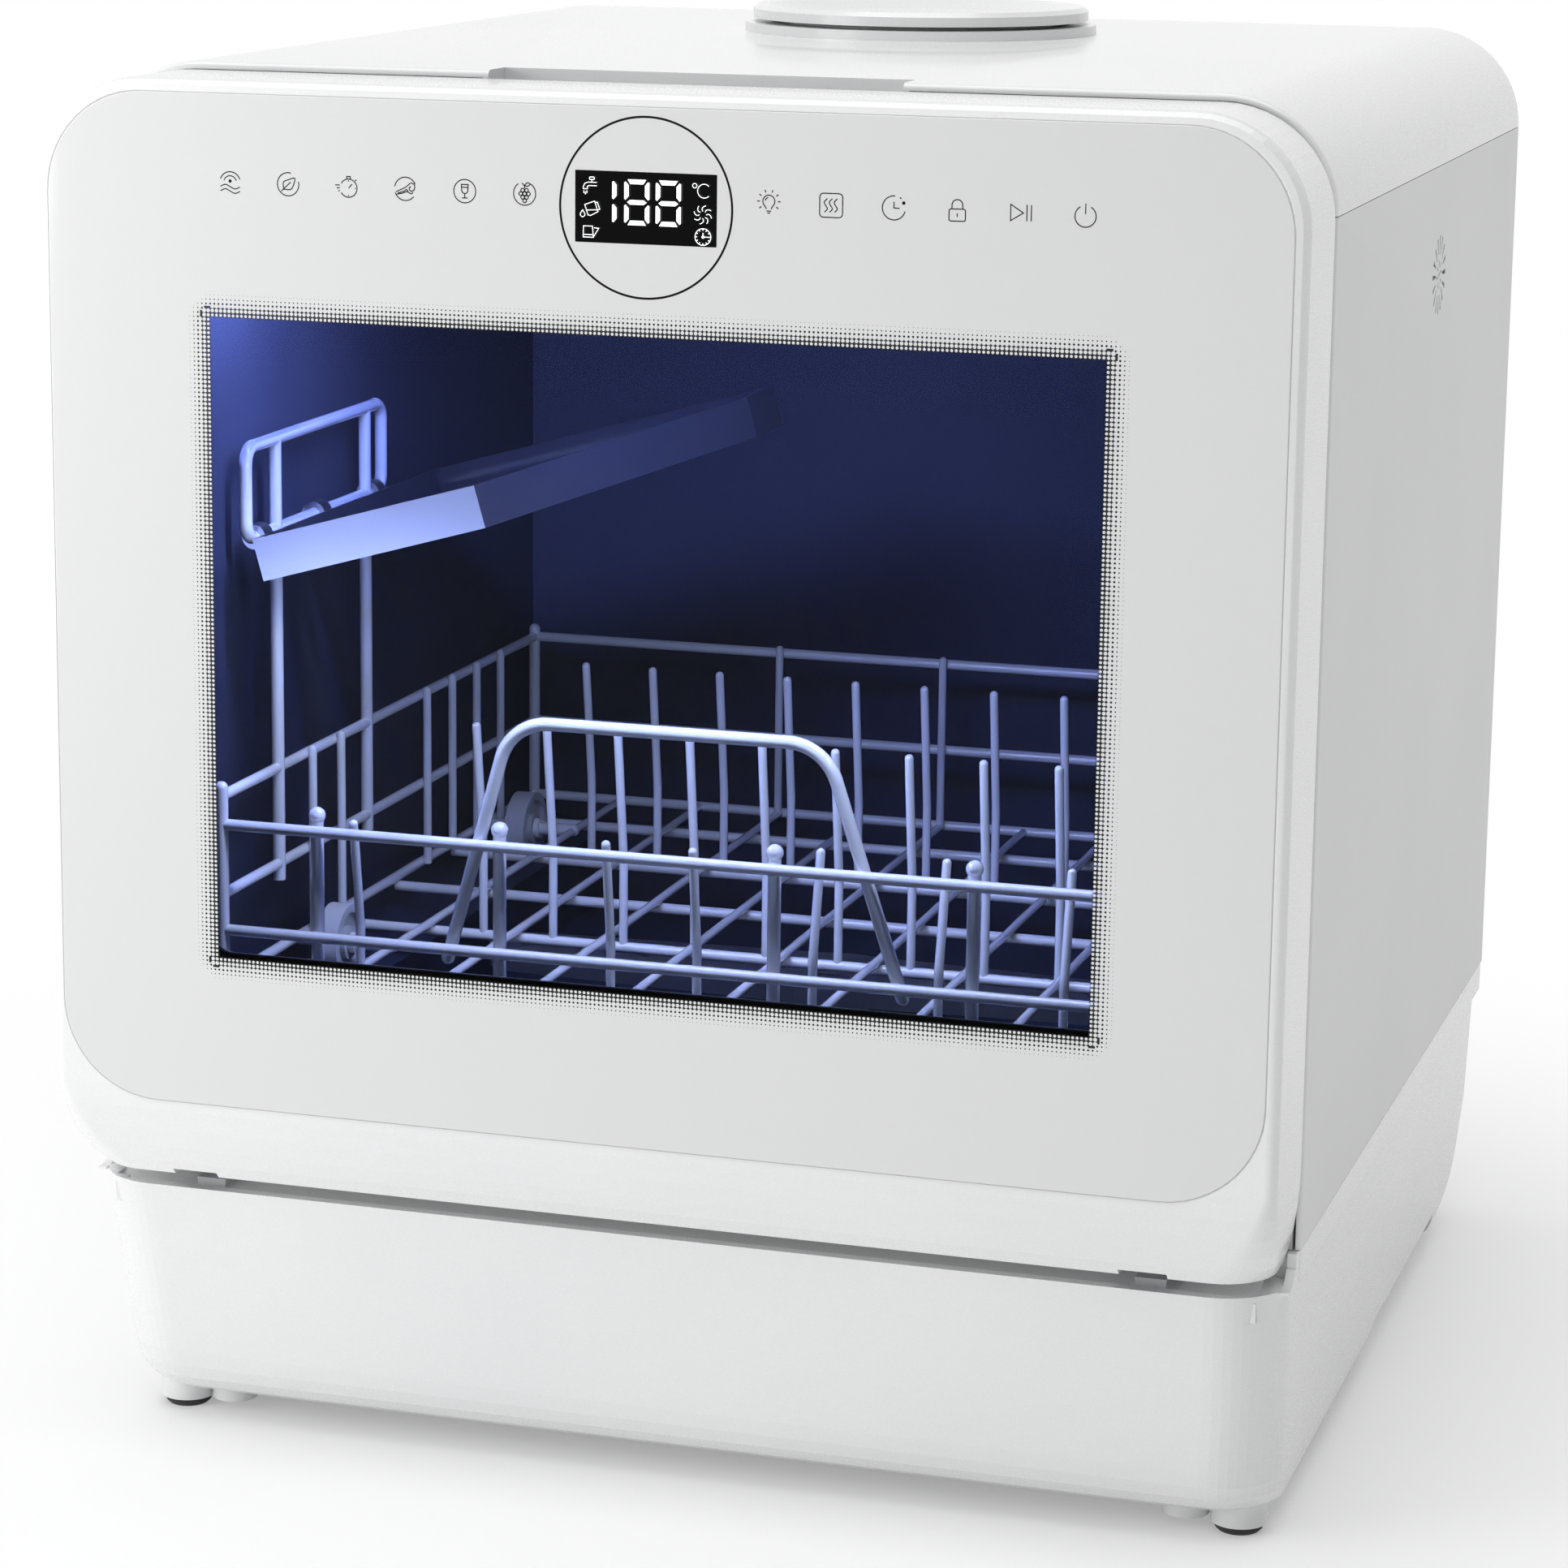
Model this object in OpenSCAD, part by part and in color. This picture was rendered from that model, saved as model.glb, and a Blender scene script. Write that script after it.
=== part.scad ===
// Countertop dishwasher with a drop-down glass door.
// The floor is z = 0, the front faces -Y and +X is to the right as seen from the front.

/* [Body] */
// Width over the side panels
body_w = 420; // [412:1:430]
// Depth from the face of the door to the rear panel
body_d = 440; // [436:1:470]
// Height of the top cover above the floor
body_h = 475; // [472:1:500]
// Radius of the top cover's shoulders
shoulder_r = 37; // [30:1:37]
// Height of the seam between the side panels and the base
base_seam_h = 103; // [102:0.5:104]
// Wall thickness of the moulded covers
wall = 2.5; // [2:0.1:3]

/* [Door] */
// Thickness of the door
door_t = 43; // [42:0.5:44]
// Gap between the closed door and the body
door_gap = 4; // [3.9:0.1:4.5]
// Height of the door's lower edge above the floor
door_low = 99.5; // [99:0.1:100.5]
// Width of the glass
glass_w = 411.6; // [408:0.2:412]
// Clear window width
window_w = 298; // [280:1:300]
// Height of the clear window's lower edge
window_low = 181.5; // [181:0.5:190]
// Height of the clear window's upper edge
window_high = 396.4; // [380:0.5:398]

/* [Basket] */
// Width of the basket between wire centres
basket_w = 348; // [340:1:350]
// Wire diameter of the basket's rails
rail_wire = 4; // [3.5:0.1:4.2]
// Diameter of the four rollers
roller_dia = 28; // [24:1:28]

/* [Lid] */
// Diameter of the fill lid
lid_dia = 126; // [120:1:128]
// Distance from the door's face to the lid's centre
lid_depth = 325; // [320:1:330]

/* [Hidden] */
$fn = 64;

// Overlap that keeps a cutting shape clear of the face it cuts
cut = 1;
// overlap of a wire's straight runs with its bends, and the swelling of a drawn bend
bend_lap = 0.3;
bend_swell = 0.1;
// Play between moulded pieces that sit in each other
play = 0.2;
half_w = body_w / 2;
spigot_out = 20;
front_y = -(body_d + spigot_out) / 2;
// Depths behind the face of the door
frame_d = door_t + door_gap;
frame_t = 4;
tub_front_d = frame_d + frame_t;
tub_back_d = 402;
tub_wall = 2;
// Heights and half widths of the wash chamber, inside
tub_half = 182;
ledge_h = 142;
tub_ceiling = 440;
basin_h = 112;
basin_half = 146;
basin_front_d = 70;
basin_back_d = 385;
// Seam between the side panels and the top cover
cover_seam_h = body_h - shoulder_r;
seam_gap = 0.3;
panel_t = 1.7;
// Door form
door_high = body_h - 2.5;
door_r = 36;
edge_r = 4;
frame_face_d = 0.3;
chin_top = 134;
chin_angle = 49;
chin_r = (chin_top - door_low) / sin(chin_angle);
hollow_low = chin_top - chin_r * sin(chin_angle / 5);
glass_t = 3;
glass_low = 130;
glass_high = door_high - 4.2;
glass_half = glass_w / 2;
liner_t = 2.5;
liner_d = door_t - liner_t;
control_h = 440;
ring_h = 437;
touch_pitch = 20.15;
touch_first = 40.3;
// Hinge axis of the door
hinge_d = 14;
hinge_h = 112;
hinge_x = 165;
hinge_arm_angle = 25;
hinge_slot_half = 8;
pin_r = 2.5;
run = 0.05;
// Basket
basket_half = basket_w / 2;
basket_front_d = 62;
basket_back_d = 380;
rail_low = 174.5;
rail_high = 212;
side_low = 187;
side_high = 222;
floor_h = 156;
post_wire = 4.6;
tine_wire = 3.2;
post_x = [-140, -73, 25, 94, 162];
roller_x = 156;
roller_w = 8;
roller_h = ledge_h + roller_dia / 2 + 0.3;
roller_front_d = 125;
roller_back_d = 320;
axle_r = 2.5;
// Plinth: a sloping front that rounds under to the floor plate
plinth_top = 93.5;
plinth_low = 8;
plinth_front_d = 19.5;
plinth_slope = 12;
plinth_r = 26;
plinth_back_r = 55;
plinth_half = half_w - 1.5;
plinth_wall = 3;
tray_floor = plinth_low + plinth_wall;
channel_floor = 84;
plinth_arc_h = plinth_low + plinth_r * (1 - sin(plinth_slope));
plinth_arc_d = plinth_front_d + (plinth_top - plinth_arc_h) * tan(plinth_slope)
    + plinth_r * cos(plinth_slope);
// Hand holds under the sides
hold_x = 191;
hold_front_d = 228;
hold_back_d = 374;
hold_h = 16;
// Feet: centres as X and depth, a moulded boss and a rubber pad on each
feet = [[190, 62], [180, 378]];
foot_boss_dia = 19;
foot_pad_dia = 16;
foot_pad_h = 3;
// Grip pocket behind the door's upper edge
grip_half = 70;
grip_d = 15;
grip_low = 453;
// Seat and neck of the fill lid
collar_r = 66;
collar_h = 3.5;
neck_r = 56;
// Mouth of the wash chamber
mouth_half = 180.5;
mouth_low = 141.5;
mouth_high = 438;
mouth_r = 18;
latch_x = 120;
// Cup shelf
shelf_x = -basket_half;
shelf_h = 308;
shelf_tilt = 16;
shelf_rod_front = 86;
shelf_rod_back = 212;
// Wash parts
hub_d = 225;
filter_x = 74;
filter_d = 155;
arm_h = 127;
// Fan behind the vent
fan_d = 255;
fan_h = 399;
// Rear connections
service_h = 85;
service_x = 150;
cord_x = 95;

// Y of a depth behind the face of the door
function deep(d) = front_y + d;
// Front of the door's chin at an angle along its arc
function chin_d(a) = frame_face_d + chin_r * (1 - cos(a));
function chin_h(a) = chin_top - chin_r * sin(a);
// What the chin loses in half width by that angle
function chin_taper(a) = 5 * pow(a / chin_angle, 2);
// Section of the plinth: height and depth at an angle along its lower round, its half width
// at a depth, and the depth of its back at a height
function plinth_h(a) = plinth_low + plinth_r * (1 - sin(a));
function plinth_d(a) = plinth_arc_d - plinth_r * cos(a);
function plinth_half_at(d) = plinth_half - 0.2 * (d - plinth_front_d);
function plinth_back(h) = body_d - plinth_back_r
    + sqrt(pow(plinth_back_r, 2) - pow(max(0, plinth_low + plinth_back_r - h), 2));

// Extrudes an outline drawn in X and Z between two depths
module along_y(d0, d1) {
    translate([0, deep(d1), 0]) rotate([90, 0, 0]) linear_extrude(d1 - d0) children();
}

// Extrudes an outline drawn in depth and height between two X values
module along_x(x0, x1) {
    translate([x0, front_y, 0]) rotate([90, 0, 90]) linear_extrude(x1 - x0) children();
}

// Extrudes an outline drawn in X and depth between two heights
module along_z(h0, h1) {
    translate([0, front_y, h0]) linear_extrude(h1 - h0) children();
}

// Rectangle from corner to corner with round corners
module round_rect(x0, z0, x1, z1, r) {
    translate([x0 + r, z0]) square([x1 - x0 - 2 * r, z1 - z0]);
    translate([x0, z0 + r]) square([x1 - x0, z1 - z0 - 2 * r]);
    for (x = [x0 + r, x1 - r], z = [z0 + r, z1 - r]) translate([x, z]) circle(r);
}

// Outline with straight sides and round shoulders, from height low to height top
module shoulders(half, low, top, r) {
    intersection() {
        union() {
            translate([-half, low - cut]) square([2 * half, top - r - low + cut]);
            translate([-(half - r), low]) square([2 * (half - r), top - low]);
            for (s = [-1, 1]) translate([s * (half - r), top - r]) circle(r);
        }
        translate([-half, low]) square([2 * half, top - low]);
    }
}

// Body outline seen from the front
module arch(inset, low) {
    shoulders(half_w - inset, low, body_h - inset, shoulder_r - inset);
}

// Box given by X, depth and height ranges
module block(x0, x1, d0, d1, h0, h1) {
    translate([x0, deep(d0), h0]) cube([x1 - x0, d1 - d0, h1 - h0]);
}

// Rod between two points given as X, depth and height
module rod(a, b, dia) {
    v = b - a;
    length = norm(v);
    translate([a[0], deep(a[1]), a[2]])
        rotate([0, acos(v[2] / length), atan2(v[1], v[0])])
        cylinder(d = dia, h = length);
}

// Ball at a point given as X, depth and height
module ball(p, dia) {
    translate([p[0], deep(p[1]), p[2]]) sphere(d = dia);
}

// Wire in the XY plane through points, with bends of radius r and round ends
module bent_wire(points, dia, r) {
    last = len(points) - 1;
    // turn at each inner point, and the length that its bend takes from both sides
    turns = [for (i = [0 : last]) i == 0 || i == last ? 0
        : let (a = points[i] - points[i - 1], b = points[i + 1] - points[i])
            atan2(a[0] * b[1] - a[1] * b[0], a * b)];
    trims = [for (t = turns) r * tan(abs(t) / 2)];
    for (i = [0 : last - 1]) {
        v = points[i + 1] - points[i];
        heading = atan2(v[1], v[0]);
        from = trims[i] - (i == 0 ? 0 : bend_lap);
        run_length = norm(v) - from - trims[i + 1] + (i == last - 1 ? 0 : bend_lap);
        translate(points[i]) rotate(heading) translate([from, 0]) rotate([0, 90, 0]) {
            cylinder(d = dia, h = run_length);
            if (i == 0) sphere(d = dia);
            if (i == last - 1) translate([0, 0, run_length]) sphere(d = dia);
        }
        if (i > 0) {
            side = sign(turns[i]);
            start = points[i] - points[i - 1];
            translate(points[i]) rotate(atan2(start[1], start[0])) translate([-trims[i], side * r])
                rotate(side > 0 ? -90 : 90 + turns[i]) rotate_extrude(angle = abs(turns[i]))
                translate([r, 0]) circle(d = dia + bend_swell);
        }
    }
}

// Lays out a wire drawn as depth and height, at an X
module wire_at_x(x) {
    translate([x, front_y, 0]) rotate([90, 0, 90]) children();
}

// Lays out a wire drawn as X and height, at a depth
module wire_at_depth(d) {
    translate([0, deep(d), 0]) rotate([90, 0, 0]) children();
}

// Upright wire with a round top
module upright(x, d, low, high, dia) {
    translate([x, deep(d), low]) cylinder(d = dia, h = high - low);
    ball([x, d, high], dia);
}

// ---- Casing ----

// Corner discs of one level of the plinth
module plinth_level(h, d_front, half, d_back, inset) {
    front_r = 24 - inset;
    back_r = 12 - inset;
    for (s = [-1, 1]) {
        translate([s * (half - front_r), deep(d_front + front_r), h]) cylinder(r = front_r, h = 0.01);
        translate([s * (half - back_r), deep(d_back - back_r), h]) cylinder(r = back_r, h = 0.01);
    }
}

// Form of the plinth up to a height; inset makes the smaller form of its hollow
module plinth_form(inset, top) {
    hull() {
        $fn = 48;
        plinth_level(top - 0.01, plinth_front_d + (plinth_top - top) * tan(plinth_slope) + inset,
            plinth_half - inset, body_d - inset, inset);
        for (a = [plinth_slope, 26, 40, 56, 72, 90])
            plinth_level(plinth_h(a) + inset, plinth_d(a) + inset, plinth_half_at(plinth_d(a)) - inset,
                plinth_back(plinth_h(a)) - inset, inset);
        for (h = [62, 50])
            plinth_level(h, plinth_front_d + (plinth_top - h) * tan(plinth_slope) + inset,
                plinth_half_at(plinth_front_d + 8) - inset, plinth_back(h) - inset, inset);
    }
}

// Rounded shoulder that closes the end of the channel under the door
module door_stop(s) {
    rise = 9;
    along_x(s > 0 ? half_w - 3.5 : 0.5 - half_w, s > 0 ? half_w - 0.5 : 3.5 - half_w) difference() {
        translate([frame_d - 15, plinth_top - 1]) square([15 + cut, base_seam_h - plinth_top + 1]);
        translate([frame_d - 3.5 - rise, plinth_top + rise]) circle(rise);
        translate([frame_d - 15 - cut, plinth_top]) square([12.5 - rise + cut, 2 * rise]);
        translate([frame_d - 15, plinth_top + rise / 2]) square([15 - 3.5, 2 * rise]);
    }
}

// Moulded cover over the foot of a hinge, in the channel
module hinge_cover(x) {
    along_y(28, 40) translate([x, channel_floor - cut])
        polygon([[-4.2, 0], [4.2, 0], [5.3, 12], [-5.3, 12]]);
}

module base_tray() {
    color("whitesmoke") for (x = [-hinge_x, hinge_x]) hinge_cover(x);
    color("whitesmoke") difference() {
        union() {
            plinth_form(0, plinth_top);
            along_z(plinth_top - 1, base_seam_h)
                round_rect(-half_w + 0.1, frame_d, half_w - 0.1, body_d, 3);
            for (s = [-1, 1]) {
                for (f = feet)
                    translate([s * f[0], deep(f[1]), foot_pad_h]) cylinder(d = foot_boss_dia, h = 15);
                // second boss beside each front foot, which carries no pad
                translate([s * (feet[0][0] - 18), deep(feet[0][1]), foot_pad_h + 1])
                    cylinder(d = foot_pad_dia, h = 14);
                door_stop(s);
            }
        }
        // room for the machinery, clear of the hand holds and with posts for the pumps
        difference() {
            plinth_form(plinth_wall, channel_floor - plinth_wall);
            for (s = [-1, 1])
                block(min(s * hold_x, s * half_w), max(s * hold_x, s * half_w),
                    hold_front_d - plinth_wall, hold_back_d + plinth_wall, 0, hold_h + plinth_wall);
            for (p = [[-64, 155, 30], [99, 300, 30], [-41, 225, 51]])
                translate([p[0], deep(p[1]), 0]) cylinder(r = 8, h = p[2]);
        }
        along_z(channel_floor - plinth_wall - cut, base_seam_h + cut)
            round_rect(-206, frame_d + plinth_wall, 206, body_d - plinth_wall, 10);
        // channel under the door, behind the plinth's upper lip
        along_x(-200, 200)
            polygon([[23.5, plinth_top + cut], [26, channel_floor], [frame_d, channel_floor],
                [frame_d, plinth_top + cut]]);
        // hand hold under each side, to the rear of the middle
        for (s = [-1, 1])
            along_x(s > 0 ? hold_x + plinth_wall : -half_w - cut,
                s > 0 ? half_w + cut : -hold_x - plinth_wall)
                polygon([[hold_front_d, 0], [hold_front_d + 10, hold_h - 1.5], [hold_front_d + 16, hold_h],
                    [hold_back_d, hold_h], [hold_back_d, 0]]);
        // rear connections
        for (c = [[-service_x, 8], [service_x, 8], [cord_x, 4]])
            translate([c[0], deep(body_d - 5), service_h]) rotate([-90, 0, 0]) cylinder(r = c[1], h = 12);
    }
}

module foot_pads() {
    r = foot_pad_dia / 2;
    color("dimgray") for (s = [-1, 1], f = feet)
        translate([s * f[0], deep(f[1]), 0]) rotate_extrude()
            polygon([[0, 0], [r - 1, 0], [r, 1], [r, foot_pad_h], [0, foot_pad_h]]);
}

module side_panel(s) {
    x = s > 0 ? half_w - panel_t : -half_w;
    block(x, x + panel_t, frame_d, body_d, base_seam_h + seam_gap, cover_seam_h - seam_gap);
}

module side_panel_left() {
    color("white") side_panel(-1);
}

// Tapered slot that points away from the middle of the vent
module vent_slot(r0, r1, w0, w1) {
    polygon([[r0, -w0 / 2], [r1, -w1 / 2], [r1, w1 / 2], [r0, w0 / 2]]);
}

module vent_outline() {
    translate([fan_d, fan_h]) {
        for (i = [0 : 15]) rotate(i * 22.5) vent_slot(7 + (i % 2), 14, 0.9, 1.9);
        for (i = [0 : 7]) rotate(i * 45 + 11) vent_slot(2.8, 5.4, 0.7, 1.2);
        circle(1.1);
    }
}

module side_panel_right() {
    color("white") difference() {
        side_panel(1);
        along_x(half_w - panel_t - cut, half_w + cut) vent_outline();
    }
}

module top_cover() {
    color("whitesmoke") difference() {
        union() {
            along_y(frame_d, body_d) difference() {
                arch(0, cover_seam_h);
                arch(wall, cover_seam_h - cut);
            }
            // grip pocket behind the door's upper edge
            block(-grip_half - 2, grip_half + 2, frame_d, frame_d + grip_d + 2, grip_low, body_h - 1);
            // seat for the fill lid
            translate([0, deep(lid_depth), body_h - 1]) cylinder(r = collar_r, h = 1 + collar_h);
        }
        block(-grip_half, grip_half, frame_d - cut, frame_d + grip_d, grip_low + 2, body_h + cut);
        translate([0, deep(lid_depth), body_h - 10]) cylinder(r = neck_r + play, h = 20);
    }
}

module rear_panel() {
    color("whitesmoke") difference() {
        along_y(body_d - 2.5, body_d - 1) arch(wall + play, base_seam_h + seam_gap);
        // air slots
        for (i = [0 : 9])
            along_y(body_d - 4, body_d + cut) round_rect(-60, 150 + i * 9, 60, 154 + i * 9, 1.9);
    }
}

module rear_screws() {
    color("silver") for (s = [-1, 1], h = [115, 200, 285, 370, 450])
        translate([s * (h > 400 ? 160 : 196), deep(body_d - 1), h]) rotate([-90, 0, 0]) {
            cylinder(r = 3.6, h = 1);
        }
}

module front_frame() {
    color("gainsboro") difference() {
        along_y(frame_d, tub_front_d) arch(wall + play, base_seam_h + seam_gap);
        along_y(frame_d - cut, tub_front_d + cut)
            round_rect(-mouth_half, mouth_low, mouth_half, mouth_high, mouth_r);
        block(-grip_half - 2 - play, grip_half + 2 + play, frame_d - cut, tub_front_d + cut,
            grip_low - play, body_h);
        block(latch_x - 8, latch_x + 8, frame_d - cut, tub_front_d + cut, 450, 466);
    }
}

module door_seal() {
    color("dimgray") along_y(door_t + 0.5, frame_d) difference() {
        round_rect(-189, 132, 189, 447, 28);
        round_rect(-181, 141, 181, 439, 20);
    }
}

// Fixed arm that carries the door's pin, with its foot on the front frame
module hinge_arm(x) {
    arm_half = 4;
    difference() {
        union() {
            along_x(x - arm_half, x + arm_half) translate([hinge_d, hinge_h]) {
                circle(4.4);
                rotate(hinge_arm_angle) translate([0, -3]) square([40, 6]);
            }
            block(x - 6.5, x + 6.5, frame_d - 2, frame_d, 116, 131.5);
        }
        along_x(x - 10, x + 10) translate([hinge_d, hinge_h]) circle(pin_r + run);
        block(x - 10, x + 10, frame_d, frame_d + 12, 90, 150);
    }
}

module hinge_arm_left() {
    color("silver") hinge_arm(-hinge_x);
}

module hinge_arm_right() {
    color("silver") hinge_arm(hinge_x);
}

module latch_case() {
    color("dimgray") difference() {
        block(latch_x - 16, latch_x + 16, tub_front_d, 80, 447, 468);
        block(latch_x - 8, latch_x + 8, tub_front_d - cut, 76, 450.5, 465.5);
    }
}

// ---- Wash chamber ----

module tub() {
    r = 20;
    color("lightsteelblue") difference() {
        union() {
            along_y(tub_front_d, tub_back_d)
                round_rect(-tub_half - tub_wall, ledge_h - tub_wall, tub_half + tub_wall,
                    tub_ceiling + tub_wall, r);
            along_z(basin_h - tub_wall, ledge_h)
                round_rect(-basin_half - tub_wall, basin_front_d - tub_wall, basin_half + tub_wall,
                    basin_back_d + tub_wall, 32);
        }
        along_y(tub_front_d - cut, tub_back_d - tub_wall)
            round_rect(-tub_half, ledge_h, tub_half, tub_ceiling, r - tub_wall);
        along_z(basin_h, ledge_h + cut)
            round_rect(-basin_half, basin_front_d, basin_half, basin_back_d, 30);
        translate([filter_x, deep(filter_d), basin_h - 10]) cylinder(r = 31, h = 20);
        translate([0, deep(hub_d), basin_h - 10]) cylinder(r = 7, h = 20);
        block(-40.5, 40.5, 99.5, 112.5, tub_ceiling - cut, tub_ceiling + 10);
        // air intake to the drying fan
        for (i = [-2 : 2])
            block(tub_half - cut, tub_half + 10, fan_d - 14, fan_d + 14,
                fan_h + i * 7 - 1.5, fan_h + i * 7 + 1.5);
    }
}

module lamp_housing() {
    color("white") difference() {
        block(-46, 46, 94, 118, tub_ceiling + tub_wall, tub_ceiling + 12);
        block(-40, 40, 100, 112, tub_ceiling + 1, tub_ceiling + 6);
    }
}

module lamp_lens() {
    color("royalblue") block(-40, 40, 100, 112, tub_ceiling - 1, tub_ceiling + 5.8);
}

module spray_hub() {
    color("gainsboro") translate([0, deep(hub_d), 0]) {
        translate([0, 0, basin_h]) cylinder(r1 = 15, r2 = 11, h = arm_h - 0.3 - basin_h);
        translate([0, 0, basin_h]) cylinder(r = 5, h = 27);
        translate([0, 0, arm_h + 8.3]) cylinder(r1 = 9, r2 = 6, h = 4);
    }
}

module filter_plate() {
    color("silver") difference() {
        along_z(basin_h, basin_h + 1.2) round_rect(24, 96, 128, 206, 14);
        translate([filter_x, deep(filter_d), basin_h - 1]) cylinder(r = 29, h = 4);
    }
}

module sump() {
    color("gainsboro") translate([filter_x, deep(filter_d), 0]) difference() {
        union() {
            translate([0, 0, 62]) cylinder(r = 40, h = basin_h - tub_wall - 62);
            translate([0, 0, basin_h - tub_wall - 4]) cylinder(r = 48, h = 4);
        }
        translate([0, 0, 64.5]) cylinder(r = 37.5, h = 60);
    }
}

module fill_funnel() {
    color("white") difference() {
        union() {
            translate([0, deep(lid_depth), 444]) cylinder(r = neck_r, h = body_h + collar_h - 444);
            block(-20, 20, lid_depth + 40, 428, 444, 462);
            block(-20, 20, 408, 428, tub_ceiling + 2.2, 446);
        }
        translate([0, deep(lid_depth), 446]) cylinder(r = neck_r - 2, h = 60);
        block(-18, 18, lid_depth + 30, 426, 446, 460);
        block(-18, 18, 410, 426, tub_ceiling - cut, 447);
    }
}

module water_tank() {
    color("aliceblue") difference() {
        along_y(tub_back_d + 2, body_d - 4) round_rect(-178, basin_h, 178, tub_ceiling + 2, 12);
        along_y(tub_back_d + 4, body_d - 6) round_rect(-176, basin_h + 2, 176, tub_ceiling, 10);
        block(-18, 18, 410, 426, tub_ceiling - cut, tub_ceiling + 10);
    }
}

// Cylinder that lies along X
module drum(x0, x1, d, h, r) {
    translate([x0, deep(d), h]) rotate([0, 90, 0]) cylinder(r = r, h = x1 - x0);
}

module wash_pump() {
    color("dimgray") {
        drum(-92, -36, 155, 58, 28);
        drum(-98, -92, 155, 58, 31);
        drum(-36, -30, 155, 58, 31);
    }
    color("gainsboro") drum(-30, -8, 155, 58, 36);
}

module drain_pump() {
    color("dimgray") drum(80, 118, 300, 50, 20);
    color("gainsboro") drum(60, 80, 300, 50, 24);
}

module heater() {
    color("silver") {
        rod([-60, 225, 66], [-22, 225, 66], 30);
        rod([-66, 225, 66], [-60, 225, 66], 36);
        rod([-22, 225, 66], [-16, 225, 66], 36);
    }
}

module pump_pipes() {
    color("gainsboro") {
        // sump to wash pump
        rod([-8, 155, 76], [35, 155, 76], 20);
        // wash pump to heater
        rod([-19, 190.5, 66], [-19, 206.9, 66], 16);
        // heater to the spray hub
        rod([-16, 225, 66], [0, 225, 66], 16);
        rod([0, 225, 66], [0, 225, basin_h - tub_wall], 16);
        ball([0, 225, 66], 16);
        // sump to drain pump
        rod([filter_x, 194.5, 70], [filter_x, 276.5, 58], 14);
    }
}

module fan_housing() {
    x0 = tub_half + tub_wall + 1;
    color("dimgray") difference() {
        along_x(x0, half_w - panel_t - 1) round_rect(fan_d - 29, fan_h - 29, fan_d + 29, fan_h + 29, 5);
        drum(x0 + 2, half_w, fan_d, fan_h, 25.5);
    }
    color("dimgray") drum(x0 + 1, x0 + 17, fan_d, fan_h, 2);
}

module fan_rotor() {
    x0 = tub_half + tub_wall + 5;
    color("silver") difference() {
        union() {
            drum(x0, x0 + 12, fan_d, fan_h, 8.5);
            along_x(x0 + 1, x0 + 11) translate([fan_d, fan_h])
                for (i = [0 : 6]) rotate(i * 360 / 7) translate([6, -0.8]) square([17.5, 1.6]);
        }
        drum(x0 - cut, x0 + 20, fan_d, fan_h, 2 + run);
    }
}

module power_board() {
    color("darkgreen") block(-180, -90, 250, 350, 30, 31.6);
    color("gray") {
        for (x = [-174, -96], d = [256, 344])
            translate([x, deep(d), tray_floor]) cylinder(r = 3, h = 30 - tray_floor);
        block(-170, -130, 262, 290, 31.6, 52);
        block(-122, -100, 262, 276, 31.6, 46);
        block(-122, -100, 290, 304, 31.6, 46);
        for (d = [305, 325]) translate([-150, deep(d), 31.6]) cylinder(r = 8, h = 26);
    }
}

// ---- Rear connections ----

module service_stub(x, shape) {
    translate([x, deep(body_d), service_h]) rotate([-90, 0, 0]) rotate_extrude() polygon(shape);
}

module water_inlet() {
    color("white") difference() {
        service_stub(service_x,
            [[0, -4], [7.8, -4], [7.8, 0], [17, 0], [17, 3], [13.2, 3], [13.2, 20], [0, 20]]);
        translate([service_x, deep(body_d + 2), service_h]) rotate([-90, 0, 0]) cylinder(r = 9.5, h = 30);
    }
}

module drain_spigot() {
    color("white") difference() {
        service_stub(-service_x,
            [[0, -4], [7.8, -4], [7.8, 0], [14, 0], [14, 2.5], [9, 2.5], [9, 20], [0, 20]]);
        translate([-service_x, deep(body_d - 6), service_h]) rotate([-90, 0, 0]) cylinder(r = 7, h = 40);
    }
}

module cord_gland() {
    color("dimgray") translate([cord_x, deep(body_d), service_h]) rotate([-90, 0, 0]) difference() {
        cylinder(r1 = 11, r2 = 8, h = 9);
        translate([0, 0, -cut]) cylinder(r = 4, h = 12);
    }
}

// ---- Door ----

// Thin upright slice of the door, used between heights low and top
module door_slice(d, inset, low) {
    r = door_r - inset;
    along_y(d, d + 0.01) {
        for (s = [-1, 1]) {
            translate([s * (half_w - inset - r), door_high - inset - r]) circle(r);
            translate([s * (half_w - inset - 1) - 1, low]) square([2, 2]);
        }
    }
}

// One level of the chin, with the front corners rounder towards its lower edge
module chin_level(a, inset, back) {
    r = edge_r + 15 * a / chin_angle;
    half = half_w - inset - chin_taper(a);
    low = max(chin_h(a), door_low + inset);
    for (s = [-1, 1]) {
        translate([s * (half - r), deep(chin_d(a) + inset + r), low]) cylinder(r = r, h = 0.01);
        translate([s * (half - 0.5) - 0.5, deep(back - 1), low]) cube([1, 1, 0.01]);
    }
}

// Outer form of the door: rounded front edges and a chin that curves back to its lower edge
module door_form() {
    intersection() {
        hull() {
            $fn = 48;
            for (a = [0, 30, 60, 90])
                door_slice(frame_face_d + edge_r * (1 - cos(a)), edge_r * (1 - sin(a)), chin_top);
            door_slice(door_t - 0.01, 0, chin_top);
            for (i = [0 : 5]) chin_level(i * chin_angle / 5, 0, door_t);
        }
        block(-half_w - cut, half_w + cut, -cut, door_t, door_low - cut, door_high + cut);
    }
}

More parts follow.
